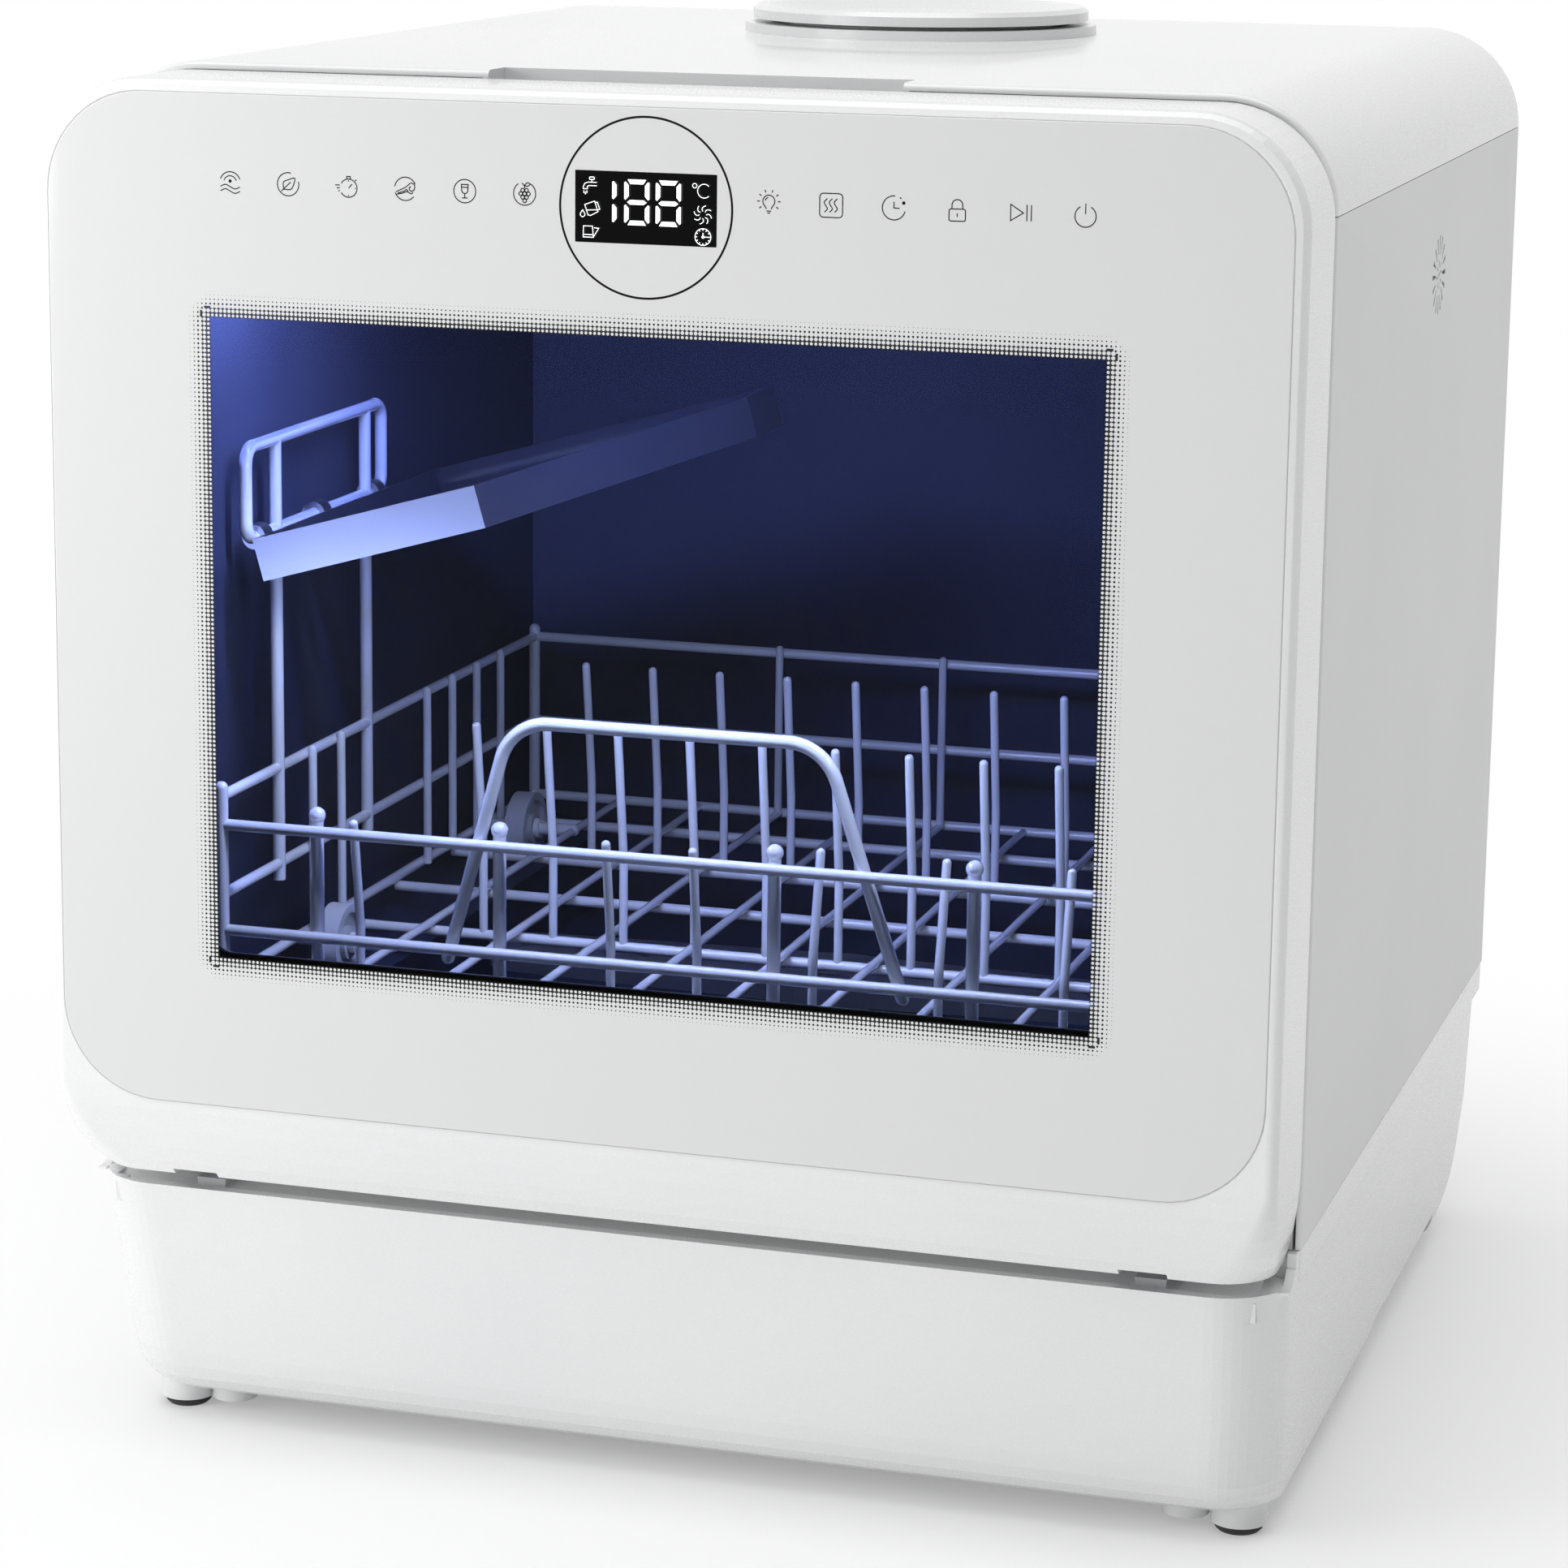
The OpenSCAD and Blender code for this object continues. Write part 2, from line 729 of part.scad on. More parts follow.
// Hollow of the door, open at the back
module door_hollow() {
    along_y(6, door_t + cut) shoulders(half_w - wall, hollow_low, door_high - wall, door_r - wall);
    hull() {
        $fn = 48;
        for (i = [1 : 5]) chin_level(i * chin_angle / 5, wall, door_t + cut);
    }
}

module glass_outline(grow) {
    round_rect(-glass_half - grow, glass_low - grow, glass_half + grow, glass_high + grow, 33.5 + grow);
}

module door_frame() {
    color("whitesmoke") difference() {
        door_form();
        difference() {
            door_hollow();
            // posts for the touch board
            for (s = [-1, 1], i = [0.5, 4.5])
                along_y(0, 12) translate([s * (touch_first + i * touch_pitch), 446]) circle(3);
        }
        along_y(-cut, glass_t + play) glass_outline(play);
        // window and display openings
        along_y(0, 8) round_rect(-157, 173, 157, 405, 8);
        along_y(0, 8) round_rect(-25, 424.5, 25, 449.5, 1);
        // slots for the hinge arms
        for (x = [-hinge_x, hinge_x])
            block(x - hinge_slot_half, x + hinge_slot_half, hinge_d, door_t + cut, 90, hinge_h);
    }
}

module door_glass() {
    color("whitesmoke") along_y(0, glass_t) glass_outline(0);
}

module inner_glass() {
    color("lightblue") along_y(35.5, 39) round_rect(-160, 169, 160, 409, 10);
}

module inner_glass_seal() {
    color("dimgray") along_y(39, liner_d) difference() {
        round_rect(-160, 169, 160, 409, 10);
        round_rect(-153, 176, 153, 402, 8);
    }
}

module door_liner() {
    gap = wall + 0.4;
    lowest = asin((chin_top - door_low - 2 * gap) / chin_r);
    // side that follows the chin, from its lower edge up
    side = [for (i = [4 : -1 : 0]) [half_w - gap - chin_taper(lowest * i / 4), chin_h(lowest * i / 4)]];
    top = [half_w - gap, chin_top + 1];
    color("gainsboro") difference() {
        along_y(liner_d, door_t) {
            shoulders(half_w - gap, chin_top, door_high - gap, door_r - gap);
            polygon(concat(side, [top, [-top[0], top[1]]],
                [for (i = [4 : -1 : 0]) [-side[i][0], side[i][1]]]));
        }
        along_y(liner_d - cut, door_t + cut) round_rect(-152, 177, 152, 401, 8);
        block(-115 - play, -35 + play, liner_d - cut, door_t + cut, 118 - play, 166 + play);
        for (x = [-hinge_x, hinge_x])
            block(x - hinge_slot_half, x + hinge_slot_half, liner_d - cut, door_t + cut, 90, 135);
    }
}

module display_module() {
    color("black") block(-24.5, 24.5, glass_t + 0.05, 11.9, 425, 449);
}

module touch_board() {
    color("darkgreen") block(-152, 152, 12, 13.6, 428, 452);
}

module touch_springs() {
    color("silver") for (s = [-1, 1], i = [0 : 5])
        translate([s * (touch_first + i * touch_pitch), deep(12), control_h]) rotate([90, 0, 0])
            cylinder(r = 4, h = 6 - 0.05);
}

module latch_striker() {
    color("silver") {
        block(latch_x - 7, latch_x + 7, door_t, door_t + 1.5, 450.5, 465);
        difference() {
            block(latch_x - 3, latch_x + 3, door_t + 1.5, 71, 454, 461);
            block(latch_x - 4, latch_x + 4, 60, 66, 453, 457.5);
        }
    }
}

module detergent_cup() {
    color("white") difference() {
        block(-115, -35, 18, door_t, 118, 166);
        block(-113, -37, 20, door_t + cut, 120, 164);
    }
}

// Pair of lugs fixed in the chin, either side of the hinge arm
module hinge_block(x) {
    difference() {
        union() {
            for (s = [-1, 1])
                along_x(x + s * 10.5 - 2, x + s * 10.5 + 2) {
                    translate([hinge_d, hinge_h]) circle(4.6);
                    polygon([[6, 160], [6, 138], [9.4, hinge_h], [18.6, hinge_h], [14, 160]]);
                }
            block(x - 12.5, x + 12.5, 6, 9, 138, 160);
        }
        along_x(x - 20, x + 20) translate([hinge_d, hinge_h]) circle(pin_r);
    }
}

module hinge_block_left() {
    color("silver") hinge_block(-hinge_x);
}

module hinge_block_right() {
    color("silver") hinge_block(hinge_x);
}

module hinge_pins() {
    color("gray") for (x = [-hinge_x, hinge_x]) drum(x - 13.5, x + 13.5, hinge_d, hinge_h, pin_r);
}

// ---- Basket ----

module basket_front_rails() {
    b = basket_half;
    color("gainsboro") {
        for (h = [rail_low, rail_high]) rod([-b, basket_front_d, h], [b, basket_front_d, h], rail_wire);
        for (x = post_x) upright(x, basket_front_d + 3.8, floor_h - 1, rail_high + 5, post_wire);
    }
}

module basket_side_rails() {
    b = basket_half;
    color("gainsboro") for (s = [-1, 1]) {
        for (h = [side_low, side_high])
            rod([s * b, basket_front_d, h], [s * b, basket_back_d, h], rail_wire);
        for (d = [basket_front_d, basket_back_d]) upright(s * b, d, floor_h, side_high + 3, post_wire);
        for (d = [136, 163, 250, 277, 304, 331])
            upright(s * (b - 3.2), d, floor_h, side_high + 2, tine_wire);
    }
}

module basket_back_rails() {
    b = basket_half;
    color("gainsboro") {
        for (h = [side_low, side_high]) rod([-b, basket_back_d, h], [b, basket_back_d, h], rail_wire);
        for (x = [-68, 0, 68])
            upright(x, basket_back_d - 3.2, floor_h, side_high + 2, tine_wire);
    }
}

module basket_floor() {
    b = basket_half;
    color("gainsboro") {
        for (s = [-1, 1])
            rod([s * b, basket_front_d, floor_h], [s * b, basket_back_d, floor_h], rail_wire);
        for (d = [basket_front_d, basket_back_d]) rod([-b, d, floor_h], [b, d, floor_h], rail_wire);
        for (s = [-1, 1], d = [basket_front_d, basket_back_d]) ball([s * b, d, floor_h], rail_wire);
        for (i = [-4 : 4])
            rod([i * 34, basket_front_d, floor_h], [i * 34, basket_back_d, floor_h], tine_wire);
        for (d = [75, 100, 165, 225, 285, 345])
            rod([-b, d, floor_h - 3.4], [b, d, floor_h - 3.4], rail_wire);
    }
}

module basket_tines() {
    color("gainsboro") {
        // front row: the left ones lean forward, the right ones lean back
        for (x = [-128, -36, -5])
            wire_at_x(x) bent_wire([[75, floor_h - 3], [75, 178], [69.5, 214]], tine_wire, 14);
        for (x = [36, 80, 123])
            wire_at_x(x) bent_wire([[75, floor_h - 3], [75, 178], [83, 214]], tine_wire, 14);
        // plate rows
        for (x = [-116 : 27 : 154], d = [165, 285])
            wire_at_x(x) bent_wire([[d, floor_h - 3], [d, 185], [d - 7, 232]], tine_wire, 20);
    }
}

module plate_hoop() {
    d = basket_front_d + 4.1;
    color("gainsboro") wire_at_depth(d)
        bent_wire([[-92, rail_low - 4], [-69, 255], [42, 255], [70, rail_low - 4]], post_wire, 18);
}

module shelf_uprights() {
    x = shelf_x;
    top = shelf_h + 32;
    color("gainsboro") {
        for (d = [112, 196]) upright(x, d, side_low - 6, top, post_wire);
        wire_at_x(x) bent_wire([[shelf_rod_front + 24, shelf_h], [shelf_rod_front, shelf_h],
            [shelf_rod_front, top], [shelf_rod_back, top], [shelf_rod_back, shelf_h],
            [shelf_rod_front + 22, shelf_h]], post_wire, 6);
    }
}

module roller_axles() {
    color("gainsboro") for (s = [-1, 1], d = [roller_front_d, roller_back_d]) {
        rod([s * 136, d, roller_h], [s * basket_half, d, roller_h], 2 * axle_r);
        rod([s * 136, d, floor_h], [s * 136, d, roller_h], 2 * axle_r);
        rod([s * basket_half, d, floor_h], [s * basket_half, d, roller_h], 2 * axle_r);
        ball([s * 136, d, roller_h], 2 * axle_r);
        // collars that keep the roller in place
        drum(s * roller_x - roller_w / 2 - 2.5, s * roller_x - roller_w / 2 - 0.3, d, roller_h, 4);
        drum(s * roller_x + roller_w / 2 + 0.3, s * roller_x + roller_w / 2 + 2.5, d, roller_h, 4);
    }
}

module roller(x, d) {
    color("lightgray") difference() {
        union() {
            drum(x - roller_w / 2, x + roller_w / 2, d, roller_h, roller_dia / 2);
        }
        for (s = [-1, 1]) difference() {
            drum(x + s * roller_w / 2 - 2, x + s * roller_w / 2 + 2, d, roller_h, roller_dia / 2 - 3);
            drum(x - roller_w, x + roller_w, d, roller_h, 6);
        }
        drum(x - roller_w, x + roller_w, d, roller_h, axle_r + run);
    }
}

module roller_front_left() {
    roller(-roller_x, roller_front_d);
}

module roller_front_right() {
    roller(roller_x, roller_front_d);
}

module roller_rear_left() {
    roller(-roller_x, roller_back_d);
}

module roller_rear_right() {
    roller(roller_x, roller_back_d);
}

// Outline of the cup shelf from above: straight front, slanted corner towards the plates
module shelf_outline(inset) {
    polygon([[5 + inset, 80 + inset], [90 - inset * 0.7, 80 + inset], [146 - inset, 218],
        [146 - inset, 250 - inset], [5 + inset, 250 - inset]]);
}

module shelf_tray() {
    depth = 15;
    difference() {
        union() {
            difference() {
                along_z(-depth, 0) shelf_outline(0);
                along_z(-depth + 2, cut) shelf_outline(2);
                // drain slots
                for (i = [0 : 5]) block(16, 84 + i * 7, 104 + i * 24, 110 + i * 24, -depth - cut, 0);
            }
            for (d = [96, 150, 202]) {
                translate([0, deep(d - 3.5), 0]) rotate([-90, 0, 0]) cylinder(r = 4.4, h = 7);
                block(0, 7, d - 3.5, d + 3.5, -4.4, 0);
            }
        }
        translate([0, deep(70), 0]) rotate([-90, 0, 0]) cylinder(d = post_wire + 2 * run, h = 190);
    }
}

module cup_shelf() {
    color("white") translate([shelf_x, 0, shelf_h]) {
        rotate([0, -shelf_tilt, 0]) shelf_tray();
        // lugs that rest on the two uprights and hold the shelf at its slope
        for (d = [112, 196]) block(post_wire / 2 + run, 10, d - 4, d + 4, -13, -7);
    }
}

// ---- Moving wash parts ----

module spray_arm() {
    wing = 120;
    color("gainsboro") translate([0, deep(hub_d), arm_h]) difference() {
        union() {
            cylinder(r = 24, h = 8);
            for (a = [0, 180]) rotate(a) linear_extrude(8) {
                polygon([[0, -23], [wing, -15], [wing, 15], [0, 23]]);
                translate([wing, 0]) circle(15);
            }
        }
        translate([0, 0, -cut]) cylinder(r = 5 + run, h = 12);
        // water ways under the wings and jets through the top
        for (a = [0, 180]) rotate(a) for (r = [45, 72, 99, 120])
            translate([r, r % 2 == 0 ? 5 : -5, -cut]) cylinder(r = 1.6, h = 12);
    }
}

module filter_cup() {
    color("gainsboro") translate([filter_x, deep(filter_d), 0]) {
        difference() {
            union() {
                translate([0, 0, 74]) cylinder(r = 27, h = 40);
                translate([0, 0, basin_h + 1.5]) cylinder(r = 33, h = 1.8);
            }
            translate([0, 0, 76]) cylinder(r = 25, h = 50);
        }
        translate([-25.5, -3, basin_h + 1.5]) cube([51, 6, 9]);
    }
}

module fill_lid() {
    top = body_h + 10;
    color("white") translate([0, deep(lid_depth), 0]) rotate_extrude($fn = 96) polygon([
        [0, top - 9], [30, top - 8], [48, top - 4], [lid_dia / 2 - 6, top - 0.4], [lid_dia / 2 - 2, top],
        [lid_dia / 2, top - 1.6], [lid_dia / 2, top - 5], [neck_r - 3, body_h + collar_h + 0.4],
        [neck_r - 3, body_h - 6], [neck_r - 5.5, body_h - 6], [neck_r - 5.5, top - 8.4], [30, top - 10.6],
        [0, top - 11.6]
    ]);
}

base_tray();
foot_pads();
side_panel_left();
side_panel_right();
top_cover();
rear_panel();
front_frame();
rear_screws();
door_seal();
hinge_arm_left();
hinge_arm_right();
latch_case();
tub();
lamp_housing();
lamp_lens();
spray_hub();
filter_plate();
sump();
fill_funnel();
water_tank();
wash_pump();
drain_pump();
heater();
pump_pipes();
fan_housing();
power_board();
water_inlet();
drain_spigot();
cord_gland();
door_frame();
door_glass();
inner_glass();
inner_glass_seal();
door_liner();
display_module();
touch_board();
touch_springs();
latch_striker();
detergent_cup();
hinge_block_left();
hinge_block_right();
hinge_pins();
basket_front_rails();
basket_side_rails();
basket_back_rails();
basket_floor();
basket_tines();
plate_hoop();
shelf_uprights();
roller_axles();
roller_front_left();
roller_front_right();
roller_rear_left();
roller_rear_right();
cup_shelf();
spray_arm();
filter_cup();
fill_lid();
fan_rotor();
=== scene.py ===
"""Countertop dishwasher: its finishes, printed glass door, touch marks, lamp and fine pieces."""

import math

import bmesh
import bpy
from mathutils import Matrix, Vector


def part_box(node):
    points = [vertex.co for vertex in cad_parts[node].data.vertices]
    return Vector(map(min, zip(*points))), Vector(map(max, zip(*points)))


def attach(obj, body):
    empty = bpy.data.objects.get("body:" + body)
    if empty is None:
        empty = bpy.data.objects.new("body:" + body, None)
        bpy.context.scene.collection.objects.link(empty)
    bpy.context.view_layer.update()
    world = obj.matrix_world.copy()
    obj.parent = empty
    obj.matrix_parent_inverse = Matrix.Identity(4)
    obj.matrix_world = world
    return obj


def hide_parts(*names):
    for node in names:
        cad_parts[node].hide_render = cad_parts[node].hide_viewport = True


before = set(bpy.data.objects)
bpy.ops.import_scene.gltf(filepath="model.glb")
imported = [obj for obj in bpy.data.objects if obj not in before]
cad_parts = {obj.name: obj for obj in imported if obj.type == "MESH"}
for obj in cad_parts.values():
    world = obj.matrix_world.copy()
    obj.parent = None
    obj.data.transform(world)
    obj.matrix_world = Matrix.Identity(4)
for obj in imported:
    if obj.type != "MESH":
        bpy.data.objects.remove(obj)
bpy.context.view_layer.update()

MM = 0.001
UP = Vector((0, 0, 1))
# vertices closer than this are one
SAME_PLACE = 1e-6

# ---- Places taken from the frame ----

glass_low, glass_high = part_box("door_glass")
GLASS_FRONT = glass_low.y
GLASS_THICK = glass_high.y - glass_low.y
LENS_LOW, LENS_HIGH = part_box("lamp_lens")

# ---- Sizes of the door's printed glass ----

GLASS_CORNER = 33.5 * MM
GLASS_EDGE = 0.5 * MM
# the clear window, and the dots that fade the white print into it
WINDOW_HALF = 149 * MM
WINDOW_LOW = 181.5 * MM
WINDOW_HIGH = 396.4 * MM
DOT_PITCH = 1.4572 * MM
FADE_OUTSET = 6.5 * MM
FADE_CORNER = 8 * MM
# depths of the layers behind the front of the glass
PRINT_DEPTH = 0.06 * MM
# depth of the painted shade film behind the print
SHADE_FILM_DEPTH = 0.12 * MM
PANE_DEPTH = 0.2 * MM
PANE_INSET = 0.05 * MM
INK_DEPTH = 0.03 * MM
# depth of the painted reflection: a dark copy of the display's signs
REFLECTION_DEPTH = 0.025 * MM
LIT_DEPTH = 0.015 * MM
MARK_HEIGHT = 440 * MM
MARK_PITCH = 20.15 * MM
MARK_FIRST = 40.3 * MM
MARK_LINE = 0.34 * MM
RING_HEIGHT = 436.9 * MM
RING_RADIUS = 28.4 * MM
RING_LINE = 0.7 * MM


# ---- Colour ----

def tone(red, green=None, blue=None):
    """Linear colour of an sRGB colour, or of a grey."""
    green = red if green is None else green
    blue = red if blue is None else blue
    return tuple(c / 12.92 if c <= 0.04045 else ((c + 0.055) / 1.055) ** 2.4
                 for c in (red, green, blue)) + (1.0,)


# ---- Effects that several finishes share ----

def new_group(name, inputs, outputs):
    """Empty node group; inputs are (name, default), outputs are (name, kind)."""
    group = bpy.data.node_groups.new(name, "ShaderNodeTree")
    for label, default in inputs:
        socket = group.interface.new_socket(label, in_out="INPUT", socket_type="NodeSocketFloat")
        socket.default_value = default
    for label, kind in outputs:
        group.interface.new_socket(label, in_out="OUTPUT", socket_type=kind)
    return group, group.nodes.new("NodeGroupInput"), group.nodes.new("NodeGroupOutput")


def noise(group, scale, detail, roughness, vector):
    """Value of a noise texture whose scale comes from another socket."""
    node = group.nodes.new("ShaderNodeTexNoise")
    node.inputs["Detail"].default_value = detail
    node.inputs["Roughness"].default_value = roughness
    group.links.new(scale, node.inputs["Scale"])
    group.links.new(vector, node.inputs["Vector"])
    return node.outputs["Fac"]


def calculate(group, operation, first, second=0.0):
    """Result of a math node on two values, each a number or another node's output."""
    node = group.nodes.new("ShaderNodeMath")
    node.operation = operation
    for socket, value in zip(node.inputs, (first, second)):
        if isinstance(value, bpy.types.NodeSocket):
            group.links.new(value, socket)
        else:
            socket.default_value = value
    return node.outputs[0]


# scale of the coarse grain beside the fine one, and how far a streak is drawn out along X
COARSE_SHARE = 0.28
STREAK_STRETCH = 0.04


def moulded_grain():
    """Fine moulded or sprayed texture: slow colour drift, fine grain for gloss and height."""
    group, given, result = new_group(
        "moulded_grain",
        [("Grain Scale", 2600.0), ("Drift Scale", 9.0)],
        [("Drift", "NodeSocketFloat"), ("Grain", "NodeSocketFloat"), ("Height", "NodeSocketFloat")])
    place = group.nodes.new("ShaderNodeTexCoord").outputs["Object"]
    drift = noise(group, given.outputs["Drift Scale"], 3.0, 0.5, place)
    grain = noise(group, given.outputs["Grain Scale"], 2.0, 0.6, place)
    coarse_scale = calculate(group, "MULTIPLY", given.outputs["Grain Scale"], COARSE_SHARE)
    coarse = noise(group, coarse_scale, 1.0, 0.4, place)
    group.links.new(drift, result.inputs["Drift"])
    group.links.new(grain, result.inputs["Grain"])
    group.links.new(calculate(group, "ADD", grain, coarse), result.inputs["Height"])
    return group


def drawn_streaks():
    """Fine streaks along X, as on drawn or brushed metal."""
    group, given, result = new_group(
        "drawn_streaks",
        [("Streak Scale", 900.0)],
        [("Streak", "NodeSocketFloat")])
    place = group.nodes.new("ShaderNodeTexCoord").outputs["Object"]
    stretch = group.nodes.new("ShaderNodeMapping")
    stretch.inputs["Scale"].default_value = (STREAK_STRETCH, 1.0, 1.0)
    group.links.new(place, stretch.inputs["Vector"])
    streak = noise(group, given.outputs["Streak Scale"], 3.0, 0.7, stretch.outputs["Vector"])
    group.links.new(streak, result.inputs["Streak"])
    return group


MOULDED_GRAIN = moulded_grain()
DRAWN_STREAKS = drawn_streaks()


# ---- Finishes ----

# the coated panes hardly mirror, and neither do the flat inks on the back of the glass
PANE_IOR = 1.1
INK_SHINE = 0.05
# the part of a noise value's range that carries most of it
NOISE_LOW = 0.3
NOISE_HIGH = 0.7
RELIEF_STRENGTH = 0.35
COAT_ROUGHNESS = 0.04


def new_material(name):
    material = bpy.data.materials.new(name)
    material.use_nodes = True
    shader = material.node_tree.nodes["Principled BSDF"]
    return material, material.node_tree, shader


def use_group(tree, group, **values):
    node = tree.nodes.new("ShaderNodeGroup")
    node.node_tree = group
    for label, value in values.items():
        node.inputs[label.replace("_", " ")].default_value = value
    return node


def spread(tree, value, low, high):
    """Maps a noise value around its middle to the range from low to high."""
    node = tree.nodes.new("ShaderNodeMapRange")
    node.inputs["From Min"].default_value = NOISE_LOW
    node.inputs["From Max"].default_value = NOISE_HIGH
    node.inputs["To Min"].default_value = low
    node.inputs["To Max"].default_value = high
    tree.links.new(value, node.inputs["Value"])
    return node.outputs["Result"]


def between(tree, value, dark, light):
    """Maps a noise value around its middle to a colour from dark to light."""
    ramp = tree.nodes.new("ShaderNodeValToRGB")
    first, last = ramp.color_ramp.elements
    first.position, last.position = NOISE_LOW, NOISE_HIGH
    first.color, last.color = dark, light
    tree.links.new(value, ramp.inputs["Fac"])
    return ramp.outputs["Color"]


def moulding(name, dark, light, gloss, grain, relief=0.0, coat=0.0, drift=9.0, shine=0.5):
    """Plastic, rubber or paint: colour drift between two tones, a gloss range and a fine relief."""
    material, tree, shader = new_material(name)
    shader.inputs["Specular IOR Level"].default_value = shine
    texture = use_group(tree, MOULDED_GRAIN, Grain_Scale=grain, Drift_Scale=drift)
    colour = between(tree, texture.outputs["Drift"], dark, light)
    tree.links.new(colour, shader.inputs["Base Color"])
    tree.links.new(spread(tree, texture.outputs["Grain"], *gloss), shader.inputs["Roughness"])
    bump = tree.nodes.new("ShaderNodeBump")
    bump.inputs["Strength"].default_value = RELIEF_STRENGTH
    bump.inputs["Distance"].default_value = relief
    tree.links.new(texture.outputs["Height"], bump.inputs["Height"])
    tree.links.new(bump.outputs["Normal"], shader.inputs["Normal"])
    if coat:
        shader.inputs["Coat Weight"].default_value = coat
        shader.inputs["Coat Roughness"].default_value = COAT_ROUGHNESS
    return material


def metal(name, dark, light, gloss):
    material, tree, shader = new_material(name)
    streaks = use_group(tree, DRAWN_STREAKS)
    colour = between(tree, streaks.outputs["Streak"], dark, light)
    tree.links.new(colour, shader.inputs["Base Color"])
    tree.links.new(spread(tree, streaks.outputs["Streak"], *gloss), shader.inputs["Roughness"])
    shader.inputs["Metallic"].default_value = 1.0
    return material


def clear_pane(name, tint):
    material, tree, shader = new_material(name)
    shader.inputs["Base Color"].default_value = tint
    shader.inputs["Transmission Weight"].default_value = 1.0
    shader.inputs["Roughness"].default_value = 0.0
    shader.inputs["IOR"].default_value = PANE_IOR
    return material


def glowing(name, colour, strength):
    material, tree, shader = new_material(name)
    shader.inputs["Base Color"].default_value = colour
    shader.inputs["Roughness"].default_value = 0.3
    shader.inputs["Emission Color"].default_value = colour
    shader.inputs["Emission Strength"].default_value = strength
    return material


FINISH = {
    "shell": moulding("gloss_white_plastic", tone(0.925, 0.927, 0.93), tone(0.94, 0.941, 0.942),
                      gloss=(0.22, 0.30), grain=2600, relief=0.02 * MM, coat=0.25),
    "panel": moulding("powder_white_steel", tone(0.89, 0.892, 0.895), tone(0.905, 0.906, 0.908),
                      gloss=(0.34, 0.46), grain=1900, relief=0.04 * MM),
    "inner": moulding("satin_white_plastic", tone(0.86, 0.865, 0.875), tone(0.89, 0.893, 0.9),
                      gloss=(0.38, 0.5), grain=2200, relief=0.03 * MM),
    "print": moulding("white_glass_print", tone(0.868, 0.869, 0.87), tone(0.876, 0.877, 0.878),
                      gloss=(0.30, 0.34), grain=3000, coat=1.0, drift=3.0),
    "ink": moulding("dark_print_ink", tone(0.08), tone(0.11),
                    gloss=(0.25, 0.35), grain=3000, shine=INK_SHINE),
    "display": moulding("display_black", tone(0.03), tone(0.04),
                        gloss=(0.12, 0.2), grain=3000, shine=INK_SHINE),
    # painted reflection: dark grey copy of the display's signs, for their reflection in the glass
    "reflection_copy": moulding("painted_reflection_segments", tone(0.2), tone(0.24),
                      gloss=(0.2, 0.3), grain=3000, shine=INK_SHINE),
    "lit": glowing("lit_segments", tone(0.98, 0.99, 1.0), strength=1.0),
    "pane": clear_pane("door_pane", tone(0.86, 0.88, 0.93)),
    "rubber_dark": moulding("black_rubber", tone(0.16), tone(0.21),
                            gloss=(0.6, 0.75), grain=1500, relief=0.08 * MM),
    "rubber_grey": moulding("grey_rubber", tone(0.46, 0.47, 0.48), tone(0.52, 0.53, 0.54),
                            gloss=(0.5, 0.62), grain=1500, relief=0.06 * MM),
    # painted shade: the tub's plastic is given a dark grey, well below its own light grey, for the
    # dim inside of the closed tub
    "tub": moulding("tub_plastic", tone(0.24, 0.25, 0.29), tone(0.27, 0.28, 0.32),
                    gloss=(0.36, 0.44), grain=1800, relief=0.008 * MM, shine=0.06),
    "steel": metal("drawn_steel", tone(0.66, 0.67, 0.68), tone(0.78, 0.79, 0.8),
                   gloss=(0.22, 0.34)),
    "black_plastic": moulding("black_plastic", tone(0.12), tone(0.16),
                              gloss=(0.4, 0.55), grain=1700, relief=0.05 * MM),
    "grey_plastic": moulding("grey_plastic", tone(0.60, 0.61, 0.63), tone(0.66, 0.67, 0.69),
                             gloss=(0.32, 0.45), grain=1900, relief=0.04 * MM),
    "board": moulding("board_green", tone(0.08, 0.3, 0.16), tone(0.1, 0.36, 0.2),
                      gloss=(0.3, 0.4), grain=1500, relief=0.02 * MM),
    "shelf": moulding("shelf_plastic", tone(0.70, 0.70, 0.71), tone(0.74, 0.74, 0.75),
                      gloss=(0.3, 0.4), grain=2200, relief=0.02 * MM),
    "wire": moulding("coated_wire", tone(0.74, 0.75, 0.77), tone(0.79, 0.80, 0.82),
                     gloss=(0.14, 0.22), grain=900, relief=0.01 * MM, coat=1.0, shine=1.0),
    # painted shade: dark grey for the shaded hollow behind the vent's slots
    "vent_shade": moulding("vent_painted_shade", tone(0.17), tone(0.22),
                      gloss=(0.6, 0.75), grain=2400, relief=0.05 * MM),
    "bead": moulding("glass_bead", tone(0.80), tone(0.84),
                     gloss=(0.4, 0.5), grain=2400, relief=0.02 * MM),
    "lens": glowing("blue_lens", tone(0.10, 0.28, 1.0), strength=4.0),
}

